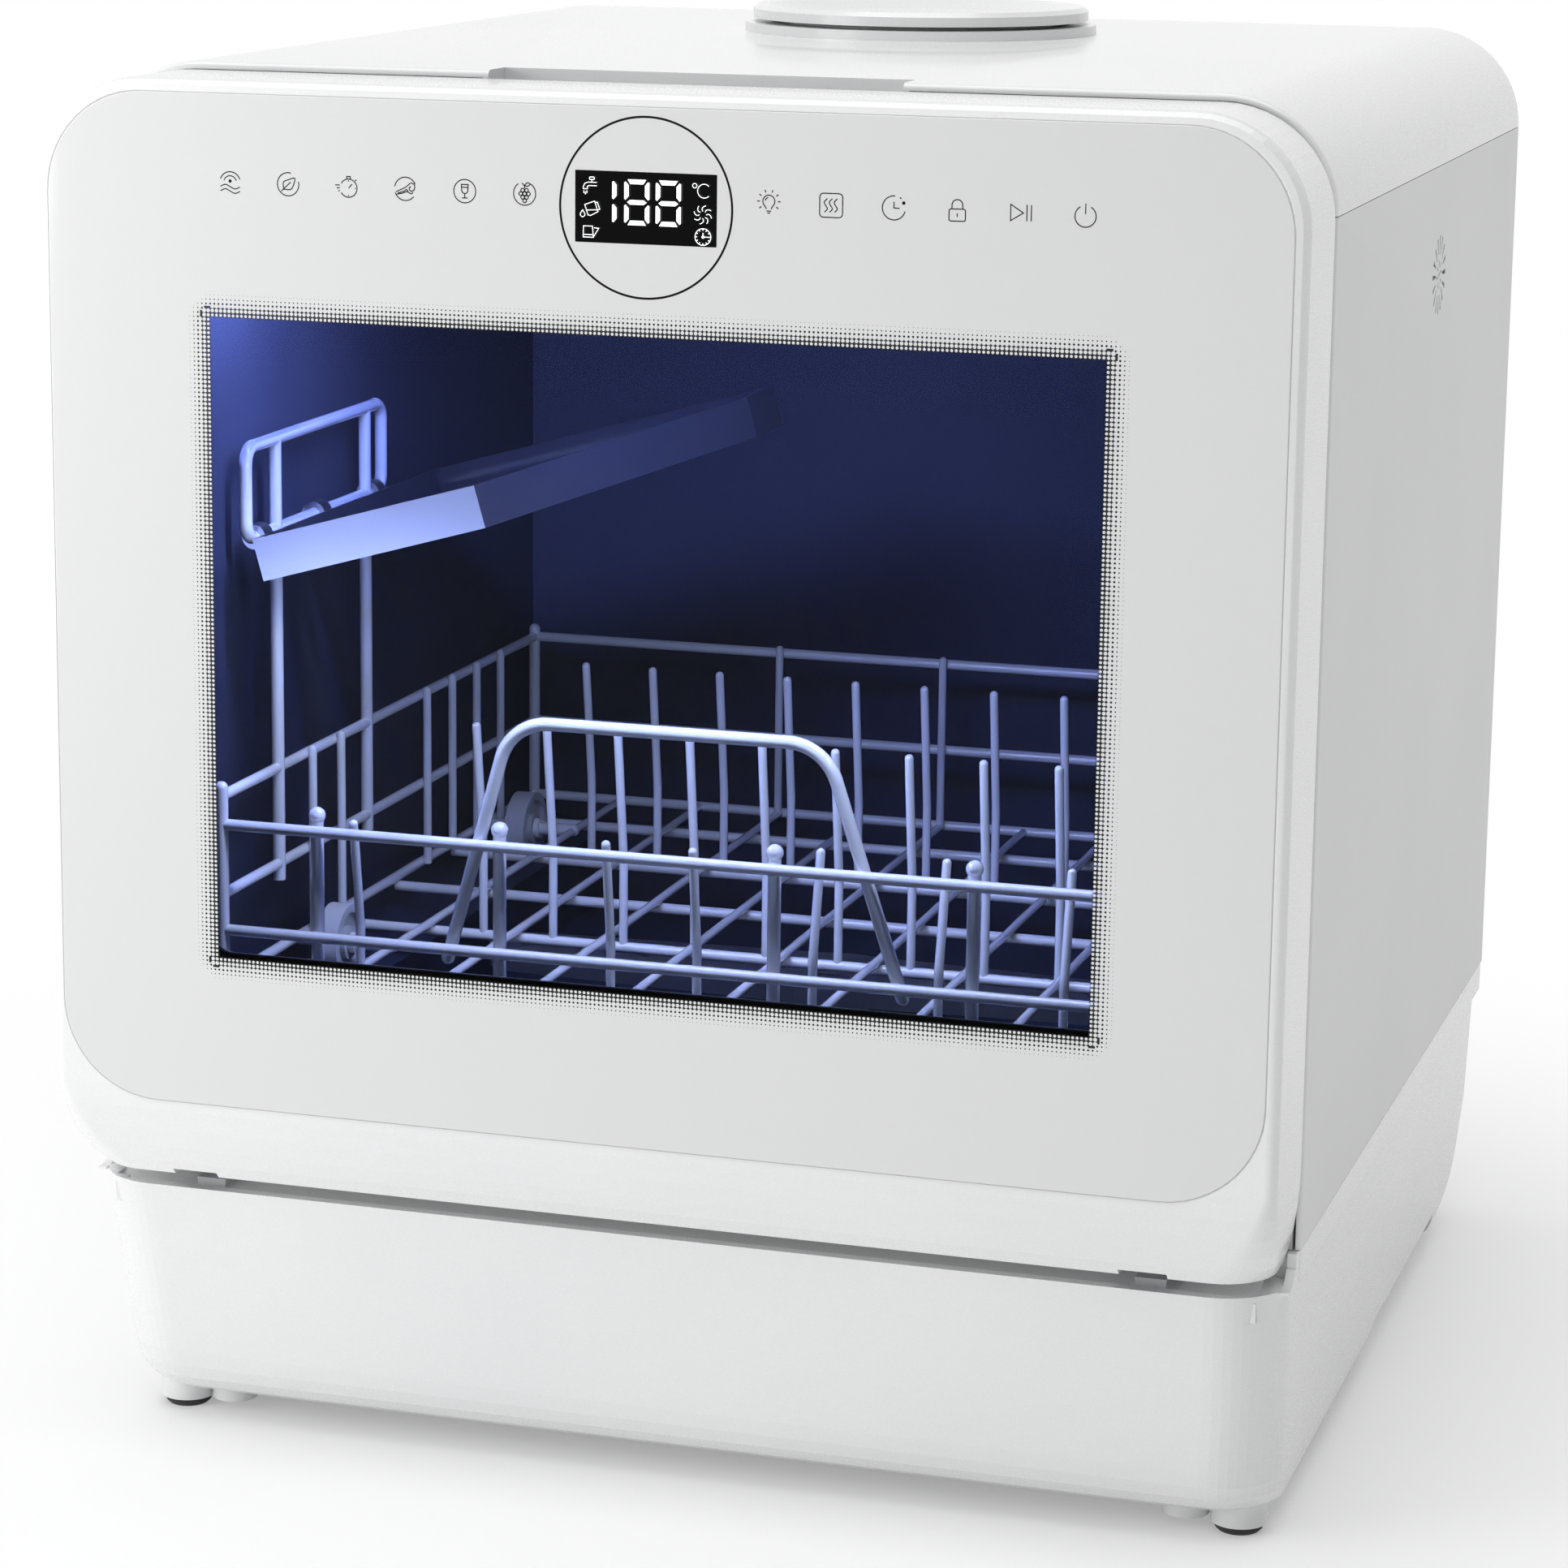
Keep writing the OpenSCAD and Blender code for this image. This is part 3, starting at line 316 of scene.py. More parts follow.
NODE_FINISH = {
    "shell": ["base_tray", "door_frame", "fill_lid"],
    "panel": ["rear_panel", "hinge_arm_left", "hinge_arm_right", "hinge_block_left",
              "hinge_block_right"],
    "inner": ["front_frame", "detergent_cup", "fill_funnel", "lamp_housing", "water_inlet",
              "drain_spigot"],
    "shelf": ["cup_shelf"],
    "rubber_grey": ["door_seal"],
    "rubber_dark": ["foot_pads", "cord_gland"],
    "tub": ["tub"],
    "lens": ["lamp_lens"],
    "steel": ["rear_screws", "hinge_pins", "filter_plate", "heater", "latch_striker",
              "touch_springs"],
    "black_plastic": ["latch_case", "wash_pump", "drain_pump", "fan_housing", "fan_rotor",
                      "pump_pipes"],
    "grey_plastic": ["spray_hub", "spray_arm", "filter_cup", "sump", "water_tank",
                     "roller_front_left", "roller_front_right", "roller_rear_left",
                     "roller_rear_right"],
    "board": ["touch_board", "power_board"],
    "wire": ["basket_front_rails", "basket_side_rails", "basket_back_rails", "basket_floor",
             "basket_tines", "plate_hoop", "shelf_uprights", "roller_axles"],
    "display": ["display_module"],
}

for finish, names in NODE_FINISH.items():
    for name in names:
        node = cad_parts[name]
        node.data.materials.clear()
        node.data.materials.append(FINISH[finish])


# ---- Mesh helpers ----

def add_piece(name, mesh, finish, body, slot, *replaced):
    """Puts a bmesh in the scene as a piece of a body."""
    data = bpy.data.meshes.new(name)
    mesh.to_mesh(data)
    mesh.free()
    data.materials.append(FINISH[finish])
    piece = bpy.data.objects.new(name, data)
    bpy.context.scene.collection.objects.link(piece)
    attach(piece, body)
    if replaced:
        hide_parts(*replaced)


def deep(depth):
    """Y of a depth behind the face of the door."""
    return GLASS_FRONT + depth


def arc(x, z, radius, start, end, steps=24):
    """Points of an arc; angles in degrees, from +X towards +Z."""
    return [(x + radius * math.cos(math.radians(start + (end - start) * i / steps)),
             z + radius * math.sin(math.radians(start + (end - start) * i / steps)))
            for i in range(steps + 1)]


def round_outline(low_x, low_z, high_x, high_z, radius, steps=12):
    """Closed outline of a rectangle with round corners."""
    corners = [(high_x - radius, low_z + radius, -90), (high_x - radius, high_z - radius, 0),
               (low_x + radius, high_z - radius, 90), (low_x + radius, low_z + radius, 180)]
    return [p for x, z, turn in corners for p in arc(x, z, radius, turn, turn + 90, steps)]


def curve_through(points, steps=6):
    """Smooth line through a few points."""
    ends = [points[0]] + list(points) + [points[-1]]
    line = []
    for a, b, c, d in zip(ends, ends[1:], ends[2:], ends[3:]):
        for i in range(steps):
            t = i / steps
            line.append(tuple(
                0.5 * (2 * q + (r - p) * t + (2 * p - 5 * q + 4 * r - s) * t * t
                       + (3 * q - p - 3 * r + s) * t ** 3)
                for p, q, r, s in zip(a, b, c, d)))
    line.append(tuple(points[-1]))
    return line


SAME_POINT = 1e-7
# a mitre reaches no further than a line's half width over this
MITRE_LEAST = 0.5


def stroke(mesh, points, width, depth, closed=False):
    """Flat printed line on the glass, with mitred joints."""
    flat = [Vector(p) for p in points]
    if closed and (flat[0] - flat[-1]).length < SAME_POINT:
        flat.pop()
    count = len(flat)
    rows = []
    for i, point in enumerate(flat):
        before = flat[i - 1] if closed or i else point
        after = flat[(i + 1) % count] if closed or i < count - 1 else point
        into, out = (point - before), (after - point)
        into = into.normalized() if into.length else out.normalized()
        out = out.normalized() if out.length else into
        along = (into + out).normalized() if (into + out).length > SAME_PLACE else into
        side = Vector((-along.y, along.x))
        reach = width / 2 / max(MITRE_LEAST, side.dot(Vector((-into.y, into.x))))
        rows.append([mesh.verts.new((q.x, deep(depth), q.y))
                     for q in (point + side * reach, point - side * reach)])
    pairs = zip(rows, rows[1:] + rows[:1]) if closed else zip(rows, rows[1:])
    for (a, b), (c, d) in pairs:
        mesh.faces.new((a, b, d, c))


def patch(mesh, outline, depth):
    """Flat printed area on the glass."""
    mesh.faces.new([mesh.verts.new((x, deep(depth), z)) for x, z in outline])


def face_front(mesh):
    """Turns every flat face of the print towards the front."""
    for face in mesh.faces:
        face.normal_update()
        if face.normal.y > 0:
            face.normal_flip()


def ring_of(mesh, outline, depth):
    """Vertices of an outline at a depth behind the face of the door."""
    return [mesh.verts.new((x, deep(depth), z)) for x, z in outline]


def bridge(mesh, first, second, smooth=False):
    """Faces between two loops with the same number of points."""
    count = len(first)
    for i in range(count):
        j = (i + 1) % count
        face = mesh.faces.new((first[i], first[j], second[j], second[i]))
        face.smooth = smooth


def loop_edges(mesh, loop):
    """Edges round a closed loop of vertices, made where there are none yet."""
    found = []
    for i, vert in enumerate(loop):
        other = loop[(i + 1) % len(loop)]
        found.append(mesh.edges.get((vert, other)) or mesh.edges.new((vert, other)))
    return found


# ---- Door glass: white print with a dotted fade, and the clear window behind it ----

WINDOW_MIDDLE = (WINDOW_LOW + WINDOW_HIGH) / 2
WINDOW_HEIGHT = (WINDOW_HIGH - WINDOW_LOW) / 2
# cells from the middle of the window to the end of the dotted fade
CELLS_ACROSS = 107.5
CELLS_UP = 79
# white dots, which grow outwards rank by rank
DOT_SIDES = 12
DOT_RADIUS = 0.45 * MM
DOT_GROWTH = 0.125 * MM
DOT_LAST = 2.4
DOT_LIFT = 0.01 * MM
# white cells beyond them, whose clear holes shrink rank by rank until they are closed
CELL_FIRST = 2.5
HOLE_RANK = 2.75
HOLE_RADIUS = 0.39 * MM
HOLE_SHRINK = 0.135 * MM
HOLE_LEAST = 0.08 * MM
# a hole wider than this gets more sides
HOLE_WIDE = 0.3 * MM
WIDE_SIDES = 16
SMALL_SIDES = 8
# the film behind the dots: painted shade of the dark frame and tub seen through the glass
SHADE_FILM_START = -0.9 * MM
SHADE_FILM_END = 0.5 * MM
SHADE_FILM_COVER = 0.86
SHADE_FILM_INSET = MM
SHADE_FILM_CORNER = 0.6 * MM
RIM_STEPS = 5


def past_window(x, z):
    """Distance outwards from the edge of the clear window."""
    across = abs(x) - (WINDOW_HALF + FADE_OUTSET - FADE_CORNER)
    up = abs(z - WINDOW_MIDDLE) - (WINDOW_HEIGHT + FADE_OUTSET - FADE_CORNER)
    outside = math.hypot(max(across, 0), max(up, 0))
    return outside + min(max(across, up), 0) - FADE_CORNER + FADE_OUTSET


def fade_outline(inset=0.0):
    """Outline of the opening in the plain print, which the dots and cells fill."""
    reach_x = CELLS_ACROSS * DOT_PITCH - inset
    reach_z = CELLS_UP * DOT_PITCH - inset
    return [(-reach_x, WINDOW_MIDDLE - reach_z), (reach_x, WINDOW_MIDDLE - reach_z),
            (reach_x, WINDOW_MIDDLE + reach_z), (-reach_x, WINDOW_MIDDLE + reach_z)]


def glass_outline(inset):
    return round_outline(glass_low.x + inset, glass_low.z + inset, glass_high.x - inset,
                         glass_high.z - inset, GLASS_CORNER - inset)


def door_print():
    """The white front of the door: one plate with a rounded rim and the window cut out."""
    mesh = bmesh.new()
    loops = []
    for i in range(RIM_STEPS + 1):
        turn = math.pi / 2 * i / RIM_STEPS
        depth = PRINT_DEPTH + GLASS_EDGE * (1 - math.cos(turn))
        loops.append(ring_of(mesh, glass_outline(GLASS_EDGE * (1 - math.sin(turn))), depth))
    loops.append(ring_of(mesh, glass_outline(0), GLASS_THICK))
    for first, second in zip(loops, loops[1:]):
        bridge(mesh, first, second, smooth=True)
    front_hole = ring_of(mesh, fade_outline(), PRINT_DEPTH)
    back_hole = ring_of(mesh, fade_outline(), GLASS_THICK)
    bridge(mesh, back_hole, front_hole)
    for outer, inner in ((loops[0], front_hole), (loops[-1], back_hole)):
        edges = loop_edges(mesh, outer) + loop_edges(mesh, inner)
        bmesh.ops.triangle_fill(mesh, edges=edges, use_beauty=True, normal=(0, -1, 0))
    bmesh.ops.recalc_face_normals(mesh, faces=mesh.faces)
    return mesh


def white_dots(mesh):
    """Round dots of white at the inside of the fade."""
    columns = math.ceil(CELLS_ACROSS)
    for i in range(-columns, columns):
        for j in range(-CELLS_UP, CELLS_UP + 1):
            x, z = (i + 0.5) * DOT_PITCH, WINDOW_MIDDLE + j * DOT_PITCH
            rank = past_window(x, z) / DOT_PITCH
            if 0 <= rank < DOT_LAST:
                radius = DOT_RADIUS + DOT_GROWTH * rank
                patch(mesh, arc(x, z, radius, 0, 360 - 360 / DOT_SIDES, DOT_SIDES - 1),
                      PRINT_DEPTH - DOT_LIFT)


def pierced_cells(mesh):
    """Cells of white, each with a round clear hole that closes towards the plain print."""
    columns = math.floor(CELLS_ACROSS)
    half = DOT_PITCH / 2
    for i in range(-columns, columns + 1):
        for j in range(-CELLS_UP, CELLS_UP):
            x, z = i * DOT_PITCH, WINDOW_MIDDLE + (j + 0.5) * DOT_PITCH
            rank = past_window(x, z) / DOT_PITCH
            if rank < CELL_FIRST:
                continue
            hole = HOLE_RADIUS - HOLE_SHRINK * (rank - HOLE_RANK)
            if hole < HOLE_LEAST:
                patch(mesh, [(x - half, z - half), (x + half, z - half),
                             (x + half, z + half), (x - half, z + half)], PRINT_DEPTH)
                continue
            sides = WIDE_SIDES if hole > HOLE_WIDE else SMALL_SIDES
            turns = [math.tau * k / sides for k in range(sides)]
            inner = [(x + hole * math.cos(t), z + hole * math.sin(t)) for t in turns]
            reach = [half / max(abs(math.cos(t)), abs(math.sin(t))) for t in turns]
            outer = [(x + r * math.cos(t), z + r * math.sin(t)) for t, r in zip(turns, reach)]
            bridge(mesh, ring_of(mesh, outer, PRINT_DEPTH), ring_of(mesh, inner, PRINT_DEPTH))


def window_dots():
    mesh = bmesh.new()
    white_dots(mesh)
    pierced_cells(mesh)
    face_front(mesh)
    return mesh


def slab(outline, front, back):
    """Plate with this outline between two depths."""
    mesh = bmesh.new()
    near, far = ring_of(mesh, outline, front), ring_of(mesh, outline, back)
    bridge(mesh, near, far)
    mesh.faces.new(near)
    mesh.faces.new(far)
    bmesh.ops.recalc_face_normals(mesh, faces=mesh.faces)
    return mesh


def painted_shade_film():
    """Painted shade: a dark film behind the dots, for the dark frame and tub seen through them,
    which ends softly at the clear window.
    """
    material, tree, shader = new_material("painted_shade_film")
    grain = use_group(tree, MOULDED_GRAIN)
    tree.links.new(between(tree, grain.outputs["Drift"], tone(0.06), tone(0.09)),
                   shader.inputs["Base Color"])
    shader.inputs["Roughness"].default_value = 0.35
    place = tree.nodes.new("ShaderNodeTexCoord").outputs["Object"]
    axes = tree.nodes.new("ShaderNodeSeparateXYZ")
    tree.links.new(place, axes.inputs["Vector"])
    width = calculate(tree, "ABSOLUTE", axes.outputs["X"])
    across = calculate(tree, "SUBTRACT", width, WINDOW_HALF)
    from_middle = calculate(tree, "SUBTRACT", axes.outputs["Z"], WINDOW_MIDDLE)
    up = calculate(tree, "SUBTRACT", calculate(tree, "ABSOLUTE", from_middle), WINDOW_HEIGHT)
    cover = tree.nodes.new("ShaderNodeMapRange")
    cover.interpolation_type = "SMOOTHSTEP"
    cover.inputs["From Min"].default_value = SHADE_FILM_START
    cover.inputs["From Max"].default_value = SHADE_FILM_END
    cover.inputs["To Max"].default_value = SHADE_FILM_COVER
    tree.links.new(calculate(tree, "MAXIMUM", across, up), cover.inputs["Value"])
    tree.links.new(cover.outputs["Result"], shader.inputs["Alpha"])
    return material


# painted shade: the band of dark film round the clear window
def painted_shade_band():
    mesh = bmesh.new()
    inner = round_outline(-WINDOW_HALF + SHADE_FILM_INSET, WINDOW_LOW + SHADE_FILM_INSET,
                          WINDOW_HALF - SHADE_FILM_INSET, WINDOW_HIGH - SHADE_FILM_INSET, SHADE_FILM_CORNER, 3)
    outer = round_outline(-CELLS_ACROSS * DOT_PITCH, WINDOW_MIDDLE - CELLS_UP * DOT_PITCH,
                          CELLS_ACROSS * DOT_PITCH, WINDOW_MIDDLE + CELLS_UP * DOT_PITCH,
                          SHADE_FILM_CORNER, 3)
    bridge(mesh, ring_of(mesh, outer, SHADE_FILM_DEPTH), ring_of(mesh, inner, SHADE_FILM_DEPTH))
    face_front(mesh)
    return mesh


# dark film behind the dots: painted shade of the frame and tub behind the glass
FINISH["shade_film"] = painted_shade_film()
add_piece("door_print", door_print(), "print", "door", "printed_glass", "door_glass")
add_piece("window_dots", window_dots(), "print", "door", "printed_glass", "door_glass")
add_piece("painted_shade_band", painted_shade_band(), "shade_film", "door", "printed_glass", "door_glass")
add_piece("window_glass", slab(fade_outline(PANE_INSET), PANE_DEPTH, GLASS_THICK), "pane", "door",
          "printed_glass", "door_glass")


# ---- Display: digits and symbols, with a faint dark copy beside them as a painted reflection in the glass ----

DISPLAY_HALF = 23.4 * MM
DISPLAY_TOP = 448.1 * MM
DISPLAY_FOOT = 425.5 * MM
# painted reflection: how far the dark copy of the signs is shifted, and how wide its lines are
REFLECTION_SHIFT = Vector((0.62 * MM, 0.2 * MM))
REFLECTION_LINE = 0.2
LIT_LINE = 0.22
# the digits, in mm from the display's top left corner
ONE_LEFT = 12.3
DIGITS_LEFT = (16.3, 26.7)
DIGIT_WIDE = 8.3
DIGIT_TOP = 2.4
DIGIT_MIDDLE = 9.55
DIGIT_FOOT = 16.7
BAR = 1.45


def on_display(points, shift):
    """Display points, in mm from its top left corner, to the door's X and Z."""
    return [(-DISPLAY_HALF + x * MM + shift.x, DISPLAY_TOP - z * MM + shift.y) for x, z in points]


def across_bars(left):
    """Top, middle and bottom bar of a digit."""
    right = left + DIGIT_WIDE
    top = [(left + 1.1, DIGIT_TOP), (right - 1.1, DIGIT_TOP),
           (right - 2.0, DIGIT_TOP + BAR), (left + 2.0, DIGIT_TOP + BAR)]
    middle = [(left + 0.9, DIGIT_MIDDLE), (left + 1.9, DIGIT_MIDDLE - BAR / 2),
              (right - 1.9, DIGIT_MIDDLE - BAR / 2), (right - 0.9, DIGIT_MIDDLE),
              (right - 1.9, DIGIT_MIDDLE + BAR / 2), (left + 1.9, DIGIT_MIDDLE + BAR / 2)]
    foot = [(left + 2.0, DIGIT_FOOT - BAR), (right - 2.0, DIGIT_FOOT - BAR),
            (right - 1.1, DIGIT_FOOT), (left + 1.1, DIGIT_FOOT)]
    return [top, middle, foot]


def upright_bars(edge, inwards):
    """Upper and lower bar at one side of a digit; inwards is 1 or -1."""
    bars = []
    heights = ((DIGIT_TOP + 0.7, DIGIT_MIDDLE - 0.75), (DIGIT_MIDDLE + 0.75, DIGIT_FOOT - 0.7))
    for high, low in heights:
        bars.append([(edge, high + 0.3), (edge + inwards * 0.45, high),
                     (edge + inwards * BAR, high + 1.15), (edge + inwards * BAR, low - 1.15),
                     (edge + inwards * 0.45, low), (edge, low - 0.3)])
    return bars


def digit_bars():
    """A one and two eights."""
    bars = upright_bars(ONE_LEFT, 1)
    for left in DIGITS_LEFT:
        bars += across_bars(left) + upright_bars(left, 1) + upright_bars(left + DIGIT_WIDE, -1)
    return bars


# Each symbol is a list of lines round its middle: the points, and whether the line is closed.

def tap_symbol(x, z):
    spout = [(x + 2.3, z - 0.75), (x - 0.6, z - 0.75), (x - 1.7, z - 0.35), (x - 2.2, z + 0.7),
             (x - 2.2, z + 1.35), (x - 0.85, z + 1.35), (x - 0.85, z + 0.6), (x - 0.3, z + 0.3),
             (x + 2.3, z + 0.3)]
    handle = [(x - 0.2, z - 2.0), (x, z - 2.4), (x + 1.3, z - 2.4), (x + 1.5, z - 2.0),
              (x + 1.3, z - 1.6), (x, z - 1.6)]
    stem = [(x + 0.65, z - 1.6), (x + 0.65, z - 0.75)]
    drops = [([(x + a, z + high), (x + a, z + low)], False)
             for a, high, low in ((-2.0, 1.9, 2.7), (-1.5, 2.2, 3.1), (-1.0, 1.9, 2.7))]
    return [(spout, False), (handle, True), (stem, False)] + drops


def tank_symbol(x, z):
    jug = [(x - 1.3, z - 1.2), (x + 2.0, z - 2.4), (x + 3.1, z + 0.9), (x + 0.6, z + 2.2),
           (x - 0.2, z + 2.0)]
    band = [(x - 0.5, z + 0.5), (x + 2.9, z + 0.3)]
    handle = [(x + 2.2, z - 1.9), (x + 2.9, z - 2.1), (x + 3.7, z + 0.1), (x + 3.0, z + 0.4)]
    drop = curve_through([(x - 2.0, z + 0.5), (x - 2.8, z + 1.9), (x - 2.0, z + 2.7),
                          (x - 1.2, z + 1.9), (x - 2.0, z + 0.5)], 4)
    return [(jug, True), (band, False), (handle, False), (drop, True)]


def box_symbol(x, z):
    box = [(x - 2.0, z - 1.8), (x + 1.0, z - 1.8), (x + 1.3, z + 1.7), (x - 2.1, z + 1.7)]
    flap = [(x + 1.5, z - 1.3), (x + 3.1, z - 1.2), (x + 1.3, z + 1.6)]
    return [(box, True), ([(x - 2.1, z + 0.9), (x + 1.2, z + 0.9)], False), (flap, False)]


def degree_symbol(x, z):
    return [(arc(x - 2.1, z - 1.5, 0.7, 0, 345, 16), True),
            (arc(x + 1.0, z + 0.1, 2.15, 45, 315, 28), False)]


def swirl_symbol(x, z):
    blades = []
    for k in range(8):
        turn = math.radians(45 * k)
        blade = curve_through([(1.1, 0.0), (1.9, -0.25), (2.6, 0.3), (2.85, 1.0)], 4)
        blades.append(([(x + a * math.cos(turn) - b * math.sin(turn),
                         z + a * math.sin(turn) + b * math.cos(turn)) for a, b in blade], False))
    return blades


def clock_symbol(x, z):
    ticks = [([(x + r * math.cos(t), z + r * math.sin(t)) for r in (1.95, 2.6)], False)
             for t in (math.pi / 6 * k for k in range(12))]
    hands = [([(x, z - 1.3), (x, z), (x + 2.2, z)], False), (arc(x, z, 0.35, 0, 330, 11), True)]
    return [(arc(x, z, 2.6, 0, 350, 35), True)] + ticks + hands


DISPLAY_LINES = (tap_symbol(4.9, 4.5) + tank_symbol(4.5, 12.0) + box_symbol(4.8, 19.3)
                 + degree_symbol(41.6, 5.1) + swirl_symbol(42.2, 12.6) + clock_symbol(42.3, 19.5))


def display_signs(shift, depth, line):
    """Every digit and symbol of the display, moved by shift."""
    mesh = bmesh.new()
    for bar in digit_bars():
        patch(mesh, on_display(bar, shift), depth)
    for points, closed in DISPLAY_LINES:
        stroke(mesh, on_display(points, shift), line * MM, depth, closed)
    face_front(mesh)
    return mesh


def display_face():
    mesh = bmesh.new()
    patch(mesh, round_outline(-DISPLAY_HALF, DISPLAY_FOOT, DISPLAY_HALF, DISPLAY_TOP, 0.25 * MM, 3),
          INK_DEPTH)
    face_front(mesh)
    return mesh


add_piece("display_face", display_face(), "display", "door", "display_black")
# painted reflection of the digits and symbols, drawn beside them
add_piece("display_painted_reflection", display_signs(REFLECTION_SHIFT, REFLECTION_DEPTH, REFLECTION_LINE), "reflection_copy", "door",
          "display_black")
add_piece("display_lights", display_signs(Vector((0, 0)), LIT_DEPTH, LIT_LINE), "lit", "door",
          "display_black")


# ---- Touch marks: plain line pictograms printed on the glass ----

# Each mark, in mm from its middle, is a list of lines as above and a list of filled outlines.

# radius of the circle round most marks
CIRCLE = 3.7


def upright(x, low, high):
    """Straight line up."""
    return [(x, high), (x, low)], False


def level(half, z):
    """Straight line across the middle."""
    return [(-half, z), (half, z)], False


def steam_mark():
    waves = [curve_through([(-3.4, h), (-1.7, h + 0.7), (0, h), (1.7, h - 0.7), (3.4, h)])
             for h in (-1.5, -2.9)]
    return ([(arc(0, -0.3, r, 20, 160), False) for r in (3.6, 2.3)] + [(w, False) for w in waves],
            [arc(0, 0.3, 0.55, 0, 340, 17)])


def leaf_mark():
    leaf = curve_through([(-1.5, -1.6), (-1.6, 0.6), (0.3, 1.5), (2.3, 2.0), (2.0, 0.2),
                          (0.9, -1.6), (-1.5, -1.6)])
    vein = curve_through([(-2.4, -2.3), (-0.9, -0.9), (0.9, 0.7)])
    return [(leaf, True), (vein, False), (arc(0, 0, CIRCLE, 75, 375, 40), False)], []


def stopwatch_mark():
    dial = arc(0.7, -0.5, 2.9, -150, 150, 36)
    ticks = [([(0.7 + r * math.cos(t), -0.5 + r * math.sin(t)) for r in (2.1, 2.5)], False)
             for t in (0, math.pi / 2, -math.pi / 2)]
    crown = [(0.1, 2.4), (0.1, 3.2), (1.3, 3.2), (1.3, 2.4)]
    speed = [([(-3.9 + k * 0.5, z), (-2.3, z)], False) for k, z in enumerate((0.4, -0.5, -1.4))]
    hand = [(0.7, -0.5), (1.9, 0.8)]
    side = [(2.9, 1.8), (3.4, 2.3)]
    return [(dial, False), (crown, False), (hand, False), (side, False)] + ticks + speed, []


def surf_mark():
    swell = curve_through([(-3.2, -1.0), (-1.6, -0.3), (0.2, 0.6), (1.9, 1.9), (3.1, 1.2),
                           (2.9, -0.3), (1.7, -0.6), (1.3, 0.3), (1.9, 0.8)])
    lower = curve_through([(-3.0, -1.8), (-1.0, -1.4), (0.5, -0.9), (1.9, -1.5), (2.6, -1.0)])
    middle = curve_through([(-2.6, -1.4), (-0.6, -0.8), (0.4, -0.2), (0.9, -0.9)])
    circle = [(arc(0, 0, CIRCLE, 25, 170, 24), False), (arc(0, 0, CIRCLE, 200, 320, 20), False)]
    return circle + [(swell, False), (lower, False), (middle, False)], []


def goblet_mark():
    bowl = [(-1.15, 2.1), (1.15, 2.1)] + arc(0, 0.3, 1.05, 0, -180, 14)
    return [(arc(0, 0, CIRCLE, 0, 352, 44), True), (bowl, True), level(1.1, 1.2),
            upright(0, -2.1, -0.75), level(0.95, -2.15)], []


def grape_mark():
    rows = [(1.0, (-0.65, 0.65)), (-0.1, (-1.3, 0.0, 1.3)), (-1.2, (-0.65, 0.65)), (-2.3, (0.0,))]
    berries = [(arc(x, z, 0.6, 0, 340, 17), True) for z, places in rows for x in places]
    stem = curve_through([(0, 1.6), (-0.1, 2.4), (-0.9, 3.3)])
    leaf = curve_through([(-0.1, 2.5), (0.9, 3.4), (1.9, 3.0), (0.9, 2.3), (-0.1, 2.5)])
    return berries + [(stem, False), (leaf, True), (arc(0, 0, CIRCLE, 125, 415, 40), False)], []


def bulb_mark():
    glass = [(0.75, -1.9)] + arc(0, 0.5, 1.95, -52, 232, 28) + [(-0.75, -1.9)]
    rays = [([(r * math.cos(t), 0.5 + r * math.sin(t)) for r in (2.9, 3.8)], False)
            for t in (math.radians(a) for a in (-35, 0, 35, 70, 110, 145, 180, 215))]
    base = [level(0.75, -2.5), level(0.45, -3.1)]
    return [(glass, False), (arc(0, 0.5, 1.2, 100, 170, 10), False)] + rays + base, []


def warm_air_mark():
    wave = curve_through([(-0.5, -2.1), (0.4, -1.1), (-0.2, 0.0), (-0.6, 1.0), (0.4, 2.1)])
    waves = [([(a + x, b) for a, b in wave], False) for x in (-1.6, 0.0, 1.6)]
    return [(round_outline(-CIRCLE, -CIRCLE, CIRCLE, CIRCLE, 1.2, 5), True)] + waves, []


def clock_mark():
    return ([(arc(0, 0, CIRCLE, 85, 345, 36), False), ([(0, 1.9), (0, 0), (1.8, -0.1)], False)],
            [arc(3.1, 1.6, 0.55, 0, 340, 17), arc(2.1, 3.1, 0.28, 0, 330, 11)])


def lock_mark():
    shackle = [(-1.7, 0.4)] + arc(0, 1.6, 1.7, 180, 0, 18) + [(1.7, 0.4)]
    return [(round_outline(-2.6, -3.3, 2.6, 0.4, 0.6, 4), True), (shackle, False),
            upright(0, -2.0, -0.9)], []


def start_mark():
    play = [(-3.3, 2.5), (-3.3, -2.5), (0.7, 0)]
    return [(play, True), upright(1.8, -2.5, 2.5), upright(3.2, -2.5, 2.5)], []


def power_mark():
    return [(arc(0, -0.3, 3.3, 120, 420, 40), False), ([(0, 0.4), (0, 3.6)], False)], []


LEFT_MARKS = (grape_mark, goblet_mark, surf_mark, stopwatch_mark, leaf_mark, steam_mark)
RIGHT_MARKS = (bulb_mark, warm_air_mark, clock_mark, lock_mark, start_mark, power_mark)


def touch_marks():
    mesh = bmesh.new()
    middle = Vector((0, MARK_HEIGHT))
    for side, marks in ((-1, LEFT_MARKS), (1, RIGHT_MARKS)):
        for i, mark in enumerate(marks):
            middle.x = side * (MARK_FIRST + i * MARK_PITCH)
            lines, areas = mark()
            for points, closed in lines:
                stroke(mesh, [middle + Vector(p) * MM for p in points],
                       MARK_LINE, INK_DEPTH, closed)
            for points in areas:
                patch(mesh, [middle + Vector(p) * MM for p in points], INK_DEPTH)
    stroke(mesh, arc(0, RING_HEIGHT, RING_RADIUS, 0, 358, 180), RING_LINE, INK_DEPTH, closed=True)
    face_front(mesh)
    return mesh


